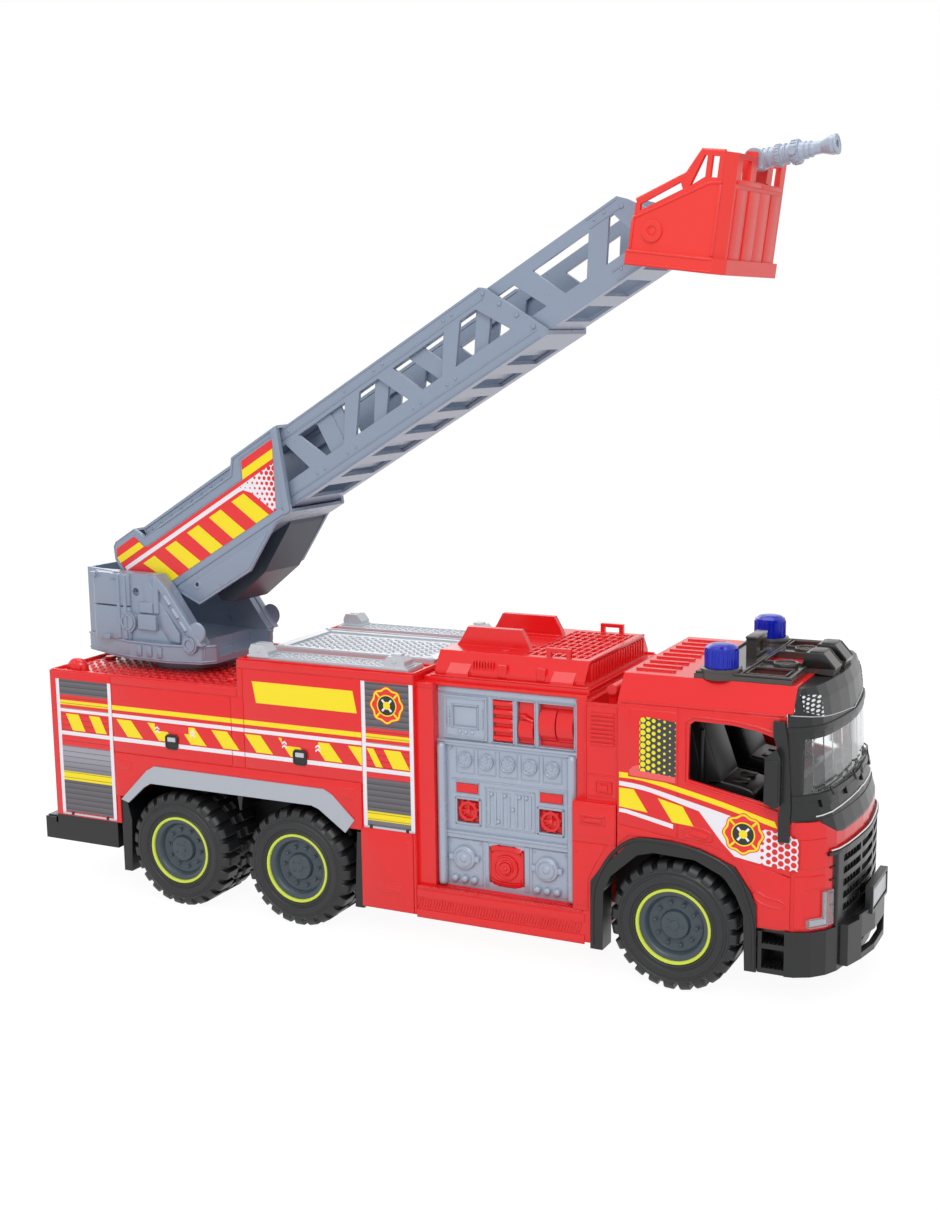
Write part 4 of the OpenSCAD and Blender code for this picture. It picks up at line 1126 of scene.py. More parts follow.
    def latches(self) -> int:
        """Makes the two black latches with their grey handles, and the marks over them."""
        out = self.wall + self.skin
        frames, handles, tabs = [], [], []
        for x in (-186.4, -76.6):
            outline = [
                (x - 3.9, 119.4), (x + 3.9, 119.4), (x + 5.6, 121.2), (x + 5.6, 128.8), (x + 3.9, 130.6),
                (x - 3.9, 130.6), (x - 5.6, 128.8), (x - 5.6, 121.2),
            ]
            frame = plate("frame", outline, out - SUNK, out + 1.4, round_by=0.4)
            frames.append(pressed(frame, lambda c, n: n.y > 0.9, 0.9, -0.7))
            handles.append(block("handle", (x - 3.6, out + 0.3, 125.2), (x + 3.6, out + 1.5, 128.6), 0.5))
            tabs.append(plate("tab", oblong(x - 15, 132.2, x + 15, 137.6), out, out + 0.16, round_by=0))
        made = paired("latch_frames", frames, Paint.BLACK)
        made += paired("latch_handles", handles, Paint.PALE)
        return made + paired("latch_tabs", tabs, Paint.RED_FILM)

    def build(self) -> int:
        """Makes the side panels and everything on them."""
        made = self.panels() + self.graphics() + self.latches()
        return made + badge("body_badge", -6.3, 168.6, 13.4, self.wall + self.skin + 0.2)


def lozenges(name: str, low: Point3, counts: tuple[int, int], pitch: Point2, size: Point3) -> Object:
    """Makes a field of small raised lozenges, in two staggered directions.

    Args:
        name: The piece's name.
        low: The first lozenge's place.
        counts: How many along x and y.
        pitch: The distances between them.
        size: One lozenge's half length, half width and height.

    Returns:
        The new object.
    """
    x, y, z = low
    a, b, h = size
    fields = []
    for k, (u, v) in enumerate(((a, b), (b, a))):
        cx, cy = x + k * pitch[0] / 2, y + k * pitch[1] / 2
        stud = plate(
            "lozenge", [(cx - u, cy), (cx, cy - v), (cx + u, cy), (cx, cy + v)], z, z + h, View.PLAN, 0,
        )
        choose_faces(stud, lambda c, n: n.z > 0.9)
        bpy.ops.transform.resize(value=(0.62, 0.62, 1))
        leave_edit()
        rows(stud, counts[0] - k, (pitch[0], 0, 0))
        rows(stud, counts[1] - k, (0, pitch[1], 0))
        fields.append(stud)
    return joined(name, fields)


@dataclass
class Roof:
    """The low deck's tread plate, the silver walkways and panel, and the tail.

    Attributes:
        deck: The low deck's height.
        roof: The tall body's roof height.
        tail_x: The body's rear face.
    """

    deck: float = 168.5
    roof: float = 191.0
    tail_x: float = -298.0

    def low_deck(self) -> int:
        """Makes the tread plate, the rim and the knobs of the low deck."""
        parts = [lozenges("studs", (-291, -69, self.deck - 0.05), (21, 18), (8, 8), (3.3, 1.1, 0.6))]
        for y in (-75.2, 73.6):
            parts.append(block("rim", (-297.8, y, self.deck + 1), (-128.4, y + 1.6, self.deck + 2.2), 0.5))
        parts.append(block("rim", (-297.9, -75, self.deck + 1), (-296.3, 75, self.deck + 2.2), 0.5))
        for sign in (-1, 1):
            knob = turned(
                "knob", [(0, 9.5), (3, 9.2), (6, 7.8), (8, 5.4), (8.8, 2.5), (9, 0), (0, 0)],
                (-281, sign * 64, self.deck), "Z", 28,
            )
            placed(
                knob,
                shift(-281, sign * 64, 0) @ Matrix.Diagonal((1, 0.62, 1, 1)) @ shift(281, -sign * 64, 0),
            )
            parts.append(knob)
            for k in range(5):
                x = -287 + 3 * k
                parts.append(block(
                    "rib", (x - 0.5, sign * 64 - 5.0, self.deck),
                    (x + 0.5, sign * 64 + 5.0, self.deck + 7.2 - abs(k - 2) * 1.2), 0.3,
                ))
        for x, y in ((-150, 50), (-150, -50), (-285, 20), (-285, -20)):
            parts.append(rod("boss", (x, y, self.deck), (x, y, self.deck + 2.4), 4.2, 24, 0.6))
        return single("low_deck_tread", parts, Paint.RED)

    def walkways(self) -> int:
        """Makes the mesh tread and end blocks of the two walkways."""
        top = self.roof + 2
        parts = [lozenges("mesh", (-101, 53.2, top - 0.05), (17, 4), (5.5, 5.2), (2.5, 0.8, 0.7))]
        for y in (50.3, 70.4):
            parts.append(block("rail", (-119.6, y, top - 0.4), (7.6, y + 1.3, top + 1.0), 0.4))
        for x in (-119.7, 6.4):
            parts.append(block("rail", (x, 50.4, top - 0.4), (x + 1.3, 71.6, top + 1.0), 0.4))
        for x0, y0, y1 in ((-120, 60, 72), (-12, 58, 70)):
            parts += [
                block("foot", (x0 - 1.4, y0 - 1.2, top - 0.6), (x0 + 17.4, y1 + 0.6, top + 1.6), 0.6),
                block("notch", (x0 + 4, y0 + 3, top + 6), (x0 + 12, y1 - 3, top + 9.6), 0.8),
                rod("pin", (x0 + 8, y1 - 0.4, top + 5), (x0 + 8, y1 + 0.5, top + 5), 1.8, 16, 0.3),
            ]
        return paired("walkway_tread", parts, Paint.PALE)

    def middle(self) -> int:
        """Makes the raised borders, treads and bolts of the silver panel in the middle."""
        z = self.roof + 1.8
        parts = []
        for y in (-37, 35.4):
            parts.append(block("lip", (-121.6, y, z + 0.8), (9.6, y + 1.6, z + 2.0), 0.5))
        parts.append(lozenges("mesh", (-110, -26, z - 0.02), (17, 8), (6.6, 6.6), (2.8, 0.9, 0.7)))
        for x in (-117, 5):
            for y in (-33.5, 33.5):
                parts.append(rod("bolt", (x, y, z + 1), (x, y, z + 2.0), 1.6, 12, 0.3))
        made = single("roof_panel_tread", parts, Paint.PALE)
        seams = []
        for y in (-43.5, 43.5):
            seams.append(block(
                "ridge", (-126, y - 1.0, self.roof - 0.2), (12.5, y + 1.0, self.roof + 1.2), 0.5,
            ))
        seams += [
            block("ridge", (-127.4, -74, self.roof - 0.2), (-125.2, 74, self.roof + 1.0), 0.5),
            block("ridge", (11.2, -74, self.roof - 0.2), (13.4, 74, self.roof + 1.0), 0.5),
        ]
        for y in (-74.9, 73.3):
            seams.append(block("ridge", (-127.4, y, self.roof - 0.2), (13.4, y + 1.6, self.roof + 1.2), 0.5))
        return made + single("roof_ridges", seams, Paint.RED)

    def tail(self) -> int:
        """Makes the rear shutter, the tail lamps and the bumper's treads."""
        x = self.tail_x
        panel = block("door", (x - 0.7, -48, 62), (x + 0.3, 48, 160), 0.3)
        frame = [block("post", (x - 1.3, y - 1.6, 60), (x + 0.2, y + 1.6, 162), 0.4) for y in (-50, 50)]
        frame += [block("post", (x - 1.3, -51, z - 1.4), (x + 0.2, 51, z + 1.4), 0.4) for z in (61, 161)]
        handle = tube(
            "handle", [(x - 0.4, -12, 72), (x - 4, -11, 72), (x - 4, 11, 72), (x - 0.4, 12, 72)], 1.5,
        )
        made = finished(panel, Paint.TAIL_SLATS)
        made += single("tail_frame", frame, Paint.PALE)
        made += single("tail_handle", [handle], Paint.BLACK)
        bezels, lenses, ribs = [], [], []
        for sign in (-1, 1):
            y = sign * 63
            bezels.append(block("bezel", (x - 1.6, y - 8, 66), (x + 0.3, y + 8, 108), 1.0, 3))
            for z0, z1 in ((68, 80), (82, 93), (95, 106)):
                lenses.append(block("lens", (x - 2.6, y - 6, z0), (x - 1, y + 6, z1), 0.9, 3))
            ribs.append(block("vent", (x - 0.8, y - 8, 116), (x + 0.3, y + 8, 160), 0.5))
            for k in range(7):
                ribs.append(block("vent", (x - 1.6, y - 6, 120 + 5.4 * k), (x, y + 6, 122.6 + 5.4 * k), 0.6))
        made += single("tail_bezels", bezels, Paint.BLACK)
        made += single("tail_lenses", lenses, Paint.TAIL)
        made += single("tail_vents", ribs, Paint.RED)
        treads = [lozenges("tread", (-309, -68, 48.95), (3, 18), (5, 8), (2.2, 0.8, 0.5))]
        for y in (-64.5, 64.5):
            treads.append(block("cap", (-311.6, y - 7.5, 52.4), (-301.6, y + 7.5, 54), 0.6))
        treads += [
            block("lip", (-311.8, -55, 45), (-310.6, 55, 47.4), 0.4),
            plate("hitch", [(-8, 38), (8, 38), (6, 31), (-6, 31)], -309, -300, View.FRONT, 0.8),
        ]
        return made + single("rear_bumper_tread", treads, Paint.BLACK)

    def build(self) -> int:
        """Makes everything on top of the body and at its tail."""
        return self.low_deck() + self.walkways() + self.middle() + self.tail()


def border(
    name: str, low: Point2, high: Point2, width: float, near: float, far: float, round_by: float = 0.3,
    flat: bool = False,
) -> list[Object]:
    """Makes the four bars of a rectangular frame.

    Args:
        name: The bars' name.
        low: The frame's lowest x and z, or x and y if it lies flat.
        high: Its highest ones.
        width: How wide each bar is.
        near: The depth that it starts at.
        far: The depth that it ends at.
        round_by: The radius of its edges.
        flat: Whether it lies flat instead of standing in the side view.

    Returns:
        The four bars.
    """
    (x0, z0), (x1, z1) = low, high
    spans = (
        (x0, z0, x1, z0 + width), (x0, z1 - width, x1, z1), (x0, z0, x0 + width, z1),
        (x1 - width, z0, x1, z1),
    )
    if flat:
        return [block(name, (a, b, near), (c, d, far), round_by) for a, b, c, d in spans]
    return [block(name, (a, near, b), (c, far, d), round_by, 1) for a, b, c, d in spans]


def knob(name: str, x: float, y: float, z: float, radius: float, height: float, axis: str = "Y") -> Object:
    """Makes a small domed knob that stands up from (x, y, z) along axis."""
    profile = [
        (0, height), (radius * 0.5, height * 0.95), (radius * 0.8, height * 0.75),
        (radius * 0.95, height * 0.4), (radius, 0), (0, 0),
    ]
    return turned(name, profile, (x, y, z), axis, 20)


@dataclass
class PumpModule:
    """The small parts of the pump panels, the step under them and the column beside them.

    Attributes:
        face: The panels' front face.
        wall: The side wall of the frame.
        rear_x: The panels' rear edge.
    """

    face: float = 66.0
    wall: float = 76.5
    rear_x: float = 27.0

    def dials(self) -> list[Object]:
        """Makes the five dials with their needles and cells."""
        y, parts = self.face, []
        for k in range(5):
            x = self.rear_x + 20 + 15.9 * k
            parts += [
                turned(
                    "rim", [(4.3, 0), (5.3, 0), (5.3, 0.7), (4.9, 1.0), (4.4, 0.7)], (x, y + 1.3, 134),
                    closed=True,
                ),
                knob("hub", x, y + 1.3, 134, 1.3, 0.9),
            ]
            mark = block("mark", (x - 0.25, y + 1.2, 136.6), (x + 0.25, y + 1.75, 137.9), 0.1, 1)
            parts.append(around(mark, 8, (x, y, 134)))
            needle = block("needle", (x - 0.35, y + 1.2, 134), (x + 0.35, y + 1.9, 137.2), 0.12, 1)
            turn = Matrix.Rotation(math.radians(38 - 16 * (k % 3)), 4, "Y")
            parts.append(placed(needle, shift(x, y, 134) @ turn @ shift(-x, -y, -134)))
            for side in (-1, 1):
                parts.append(block(
                    "cell", (x + side * 6.6 - 0.35, y - SUNK, 124.4),
                    (x + side * 6.6 + 0.35, y + 0.5, 141.6), 0.2, 1,
                ))
            parts.append(block("cell", (x - 6.6, y - SUNK, 124.2), (x + 6.6, y + 0.45, 124.9), 0.2, 1))
        return parts

    def ribbed(self) -> list[Object]:
        """Makes the ribbed middle, its sliding knobs and the frames of the handwheels."""
        y, parts = self.face, []
        for x in (64.2, 69.0, 73.8, 79.0, 84.5, 89.5, 94.5):
            parts.append(block("rib", (x - 1.0, y - SUNK, 91), (x + 1.0, y + 0.75, 114), 0.45))
        parts += border("ribs", (61.5, 88.6), (98.2, 116.6), 0.8, y - SUNK, y + 0.5, 0.2)
        for x, z in ((66.3, 112.2), (76.3, 112.2), (86.9, 112.2), (92, 112.2), (82, 103), (71.3, 93.5)):
            parts.append(knob("slider", x, y, z, 1.5, 1.7))
        for x in (39.0, 99.6):
            parts += border("frame", (x, 88.4), (x + 19.6, 107.7), 1.7, y - SUNK, y + 0.9, 0.5)
        for x in (39.6, 101.2):
            parts += border("label", (x, 110.2), (x + 17.6, 118.4), 0.7, y - SUNK, y + 0.5, 0.2)
        return parts

    def upper(self) -> list[Object]:
        """Makes the screen with its buttons, the frames of the hose lockers and the ledges."""
        y, parts = self.face, []
        parts += border("screen", (33.2, 149.6), (62.8, 176.8), 1.0, y + 1.4, y + 2.1)
        parts += border("screen", (37.8, 155.6), (58.2, 172.4), 1.1, y + 1.4, y + 2.0)
        parts.append(block("glass", (39.6, y + 0.3, 157.6), (56.4, y + 0.9, 170.4), 0.4))
        for x in (43.8, 48.5, 53.2):
            parts.append(knob("button", x, y + 1.4, 153.4, 1.6, 1.2))
        for x in (34.9, 59.9):
            parts.append(block("slider", (x, y + 1.4, 156), (x + 1.5, y + 2.2, 170), 0.4))
        for k in range(5):
            parts.append(block(
                "vent", (34.6, y + 1.4, 157.4 + 2 * k), (36.9, y + 2.5, 158.2 + 2 * k), 0.2, 1,
            ))
        for x0, x1 in ((68, 82.5), (85.5, 98), (101, 126)):
            parts += border("locker", (x0 - 0.9, 147.6), (x1 + 0.9, 178.4), 0.9, y - SUNK, y + 0.6, 0.25)
        parts += [
            block("lintel", (27.4, y - SUNK, 179.4), (128.6, y + 0.9, 183.6), 0.4),
            block("ledge", (26.9, y + 1.2, 145.4), (129.0, y + 2.6, 147.2), 0.5),
            block("ledge", (33.0, y + 1.0, 82.0), (122.0, y + 2.4, 83.8), 0.5),
            block("ledge", (37, y - SUNK, 119.6), (121, y + 0.6, 120.6), 0.3),
        ]
        for x, z in ((36.8, 141.6), (121.5, 141.6), (28.6, 181.5), (127.4, 181.5), (60, 146)):
            parts.append(rod("screw", (x, y + 0.5, z), (x, y + 1.6, z), 0.8, 12, 0.2))
        return parts

    def lower(self) -> list[Object]:
        """Makes the lower panels, the capped outlets, their knobs, and the domed ends of the grab bars."""
        y, parts = self.face, []
        for x0, x1 in ((33.2, 59.6), (61.2, 63.8), (90.2, 93.8), (95.4, 121.4)):
            z0, z1 = 46.8, 78.2
            if x1 - x0 < 10:
                parts.append(block("panel", (x0, y - SUNK, z0), (x1, y + 0.5, z1), 0.3))
            else:
                parts += border("panel", (x0, z0), (x1, z1), 0.7, y - SUNK, y + 0.45, 0.2)
        for x in (self.rear_x + 19, self.rear_x + 80):
            parts += [
                turned(
                    "cap", [(0, 1.5), (7.3, 1.4), (8.1, 0.9), (8.5, 0), (8.5, -1.4), (0, -1.4)],
                    (x, y + 1.7, 65.3),
                ),
                turned(
                    "rim", [(5.6, 0), (6.3, 0), (6.2, 0.5), (5.7, 0.5)], (x, y + 3.1, 65.3), closed=True,
                ),
                knob("button", x, y + 3.1, 65.3, 2.7, 0.9),
            ]
            for side in (-1, 1):
                parts.append(block(
                    "lug", (x + side * 9.6 - 1.6, y - SUNK, 63.3), (x + side * 9.6 + 1.6, y + 2.6, 67.3),
                    0.6,
                ))
            for k in (-1, 0, 1):
                parts.append(knob("knob", x + 7.2 * k, y + 1.5, 50.3, 2.6, 1.8))
        for x, z in ((35, 75.8), (57.6, 75.8), (97.4, 75.8), (119.6, 75.8)):
            parts.append(rod("screw", (x, y, z), (x, y + 0.7, z), 0.8, 12, 0.2))
        dome = [(3.2, 0), (3.0, 1.3), (2.3, 2.4), (1.2, 3.1), (0, 3.3), (0, 0)]
        for x in (self.rear_x + 3.2, 125.4):
            parts += [
                turned("dome", dome, (x, y + 2, 142), "Z", 24),
                turned(
                    "foot", [(3.2, 0), (3.0, -1.0), (2.2, -1.8), (0, -2.1), (0, 0)], (x, y + 2, 47), "Z",
                    24,
                ),
            ]
        return parts

    def red_parts(self) -> int:
        """Makes the toothed handwheels, the barrel shaped valve plate and the rolled hoses' edges."""
        y, parts = self.face, []
        for x in (self.rear_x + 21.75, self.rear_x + 82.25):
            tooth = block("tooth", (x - 1.0, y - 2.6, 104.2), (x + 1.0, y + 0.1, 106.0), 0.4)
            parts.append(around(tooth, 9, (x, y, 98.1)))
            spoke = block("spoke", (x - 0.8, y - 2.6, 98.1), (x + 0.8, y - 0.2, 103.6), 0.3)
            parts += [
                around(spoke, 3, (x, y, 98.1)),
                turned(
                    "rim", [(4.9, 0), (6.9, 0), (6.8, 0.7), (5.9, 1.0), (5.0, 0.7)], (x, y + 0.1, 98.1),
                    closed=True,
                ),
                knob("hub", x, y + 0.6, 98.1, 1.9, 1.0),
            ]
        outline = [
            (64.4, 52.4), (68, 51.2), (73, 50.4), (77, 50.2), (81, 50.4), (86, 51.2), (89.6, 52.4),
            (89.6, 73.2), (86, 74.4), (81, 75.2), (77, 75.4), (73, 75.2), (68, 74.4), (64.4, 73.2),
        ]
        valve = plate("valve", outline, y - 1.2, y + 0.8, round_by=0.5)
        parts.append(pressed(valve, lambda c, n: n.y > 0.9, 1.3, -0.5))
        for radius in (9.0, 5.6):
            parts.append(turned("ring", [
                (radius - 1.4, 0), (radius, 0), (radius - 0.1, 0.9), (radius - 0.7, 1.2), (radius - 1.3, 0.9)
            ], (76.7, y + (0.8 if radius > 8 else 0.9), 62), closed=True))
        parts.append(knob("nub", 76.7, y + 2.4, 62, 1.7, 1.2))
        for x, z in ((66.6, 54), (87.4, 54), (66.6, 71.6), (87.4, 71.6)):
            parts.append(rod("screw", (x, y + 0.2, z), (x, y + 0.9, z), 0.7, 12, 0.2))
        for z in (151, 157, 163, 169, 175):
            parts.append(tube(
                "hose", [(68.6, y - 1.4, z), (70, y - 0.7, z), (80.5, y - 0.7, z), (82, y - 1.4, z)], 2.0,
            ))
        fold = [(86.2, y - 2.2, 167.5), (90, y - 0.8, 168), (93, y - 0.6, 166), (97, y - 1.2, 164.5)]
        parts.append(tube("fold", fold, 1.1))
        for x0, x1, zc, r in ((86.3, 97.2, 158, 8.6), (102, 113.2, 163, 13.4), (114.6, 125.8, 162, 12.6)):
            for k in range(5):
                z = zc - r * 0.7 + r * 0.35 * k
                bulge = math.sqrt(max(r * r - (z - zc) ** 2, 0)) - r
                parts.append(block(
                    "turn", (x0, y - 4.4, z - 0.5), (x1, y - 0.2 + bulge * 0.4, z + 0.5), 0.35,
                ))
        return paired("pump_red_parts", parts, Paint.RED)

    def step(self) -> int:
        """Makes the ribbed step, the column's louvres and the panels beside the front wheel."""
        w, parts = self.wall, []
        rib = block("rib", (14.5, 68.4, 43.6), (15.6, 75.8, 44.7), 0.3, 1)
        slant = Matrix(((1, -0.16, 0, 0), (0, 1, 0, 0), (0, 0, 1, 0), (0, 0, 0, 1)))
        placed(rib, shift(15, 72, 0) @ slant @ shift(-15, -72, 0))
        parts += [
            rows(rib, 56, (2.1, 0, 0)),
            block("nosing", (14.2, 75.4, 42.4), (135, w + 0.5, 44.8), 0.5),
        ]
        side_rib = plate(
            "rib", [(14.0, 28.6), (15.1, 28.6), (16.9, 35.4), (15.8, 35.4)], w - SUNK, w + 0.75,
            round_by=0.25, segments=1,
        )
        parts += [
            rows(side_rib, 57, (2.12, 0, 0)),
            plate("band", oblong(13.8, 21.6, 137.6, 27.6), w - SUNK, w + 0.8, round_by=0.35),
            plate("band", oblong(13.8, 36.4, 137.6, 41.8), w - SUNK, w + 0.45, round_by=0.3),
            plate("block", oblong(129.4, 91.4, 158.6, 117.6), w - SUNK, w + 0.5, round_by=0.3),
            plate(
                "block", [(129.4, 44.8), (140, 44.8), (140, 66), (146, 79), (153, 90.8), (129.4, 90.8)],
                w - SUNK, w + 0.5, round_by=0.3,
            ),
        ]
        parts += border("relief", (134.5, 103.4), (152, 109.6), 0.9, w + 0.4, w + 1.2)
        parts.append(block("relief", (137, w + 0.3, 105), (149.6, w + 1.3, 108), 0.5))
        for x, z in ((131.5, 84.5), (131.5, 48)):
            parts.append(rod("screw", (x, w + 0.4, z), (x, w + 1.1, z), 1.0, 14, 0.25))
        c = 72.4
        for k in range(8):
            parts.append(block("louvre", (140, c, 155.6 + 2.8 * k), (156.6, c + 1.3, 157.3 + 2.8 * k), 0.5))
        parts += border("square", (143.6, 123.6), (155, 131.6), 0.8, c, c + 1.0)
        parts.append(block("square", (146.6, c, 125.6), (152, c + 1.2, 129.6), 0.4))
        for z in (121, 135.4, 181.4):
            parts.append(block("line", (137, c, z), (158.6, c + 0.7, z + 0.8), 0.3))
        for x in (136.4, 157.8):
            parts.append(block("edge", (x, c, 119), (x + 1.0, c + 0.9, 182.6), 0.35))
        parts.append(block("edge", (12, 73.2, 182.8), (26.6, 74.3, 184.4), 0.4))
        parts += border("surround", (26.2, 43.6), (129.8, 184.8), 1.0, 66.2, 67.2)
        return paired("pump_step", parts, Paint.RED)

    def cover(self) -> int:
        """Makes the lattice, the louvres and the edges of the pump's cover."""
        parts = []
        for y in (-36, -24, -12, 0, 12, 24, 36):
            parts.append(block("bar", (82.5, y - 0.8, 203.7), (126.5, y + 0.8, 205.3), 0.35))
        for k in range(8):
            x = 86 + 5.4 * k
            parts.append(block("bar", (x - 0.8, -44.5, 203.7), (x + 0.8, 44.5, 205.1), 0.35))
        louvre = block("louvre", (130.8, -49.2, 190.4), (132.2, -47.6, 202.6), 0.4)
        parts += [
            rows(louvre, 21, (0, 4.84, 0)),
            block("brow", (129.8, -51, 203.6), (132.0, 51, 205.4), 0.5),
            block("sill", (20, -63.6, 189), (135, -61.6, 190.2), 0.4),
            block("sill", (20, 61.6, 189), (135, 63.6, 190.2), 0.4),
        ]
        for side in (-1, 1):
            for x in (68.5, 96.5):
                parts.append(block(
                    "hook", (x, side * 58 - 2.4, 190), (x + 7, side * 58 + 2.4, 199.4), 1.0, 3,
                ))
            for k in range(9):
                x = 50 + 2.1 * k
                if not 66 < x < 78:
                    parts.append(block(
                        "rib", (x - 0.5, side * 57.6 - 1.6, 192), (x + 0.5, side * 57.6 + 1.6, 200.5), 0.3,
                    ))
            parts.append(rod("screw", (66, side * 40, 204.6), (66, side * 40, 206), 3.0, 24, 0.5))
        for y in (-20, 20):
            parts.append(block("ridge", (26, y - 1.2, 204.6), (79, y + 1.2, 206.2), 0.5))
        return single("pump_cover_ribs", parts, Paint.RED)

    def build(self) -> int:
        """Makes everything on the pump module."""
        grey = self.dials() + self.ribbed() + self.upper() + self.lower()
        made = paired("pump_panel_parts", grey, Paint.SILVER)
        return made + self.red_parts() + self.step() + self.cover()


def skinned(name: str, rows_of: Sequence[Sequence[Point3]], thickness: float) -> Object:
    """Makes a curved plate from a grid of places, with its own thickness behind them.

    Args:
        name: The piece's name.
        rows_of: Rows of places, all of one length.
        thickness: How thick the plate is.

    Returns:
        The new object.
    """
    across, up = len(rows_of[0]), len(rows_of)
    bpy.ops.mesh.primitive_grid_add(x_subdivisions=across - 1, y_subdivisions=up - 1)
    obj = named(name)
    for vertex, place in zip(obj.data.vertices, (p for row in rows_of for p in row)):
        vertex.co = Vector(place) * MM
    applied(obj, "SOLIDIFY", thickness=thickness * MM, offset=0)
    face_out(obj)
    return smoothed(obj, 40)


def eased(points: Sequence[Point2], steps: int = 6) -> list[Point2]:
    """Draws a smooth curve through points, with steps places between each two."""
    ends = [points[0], *points, points[-1]]
    curve = []
    for a, b, c, d in zip(ends, ends[1:], ends[2:], ends[3:]):
        for k in range(steps):
            t = k / steps
            curve.append(tuple(
                0.5 * (
                    2 * q + (r - p) * t + (
                        2 * p - 5 * q + 4 * r - s
                    ) * t * t + (3 * q - 3 * r + s - p) * t**3
                )
                for p, q, r, s in zip(a, b, c, d)
            ))
    return [*curve, tuple(points[-1])]


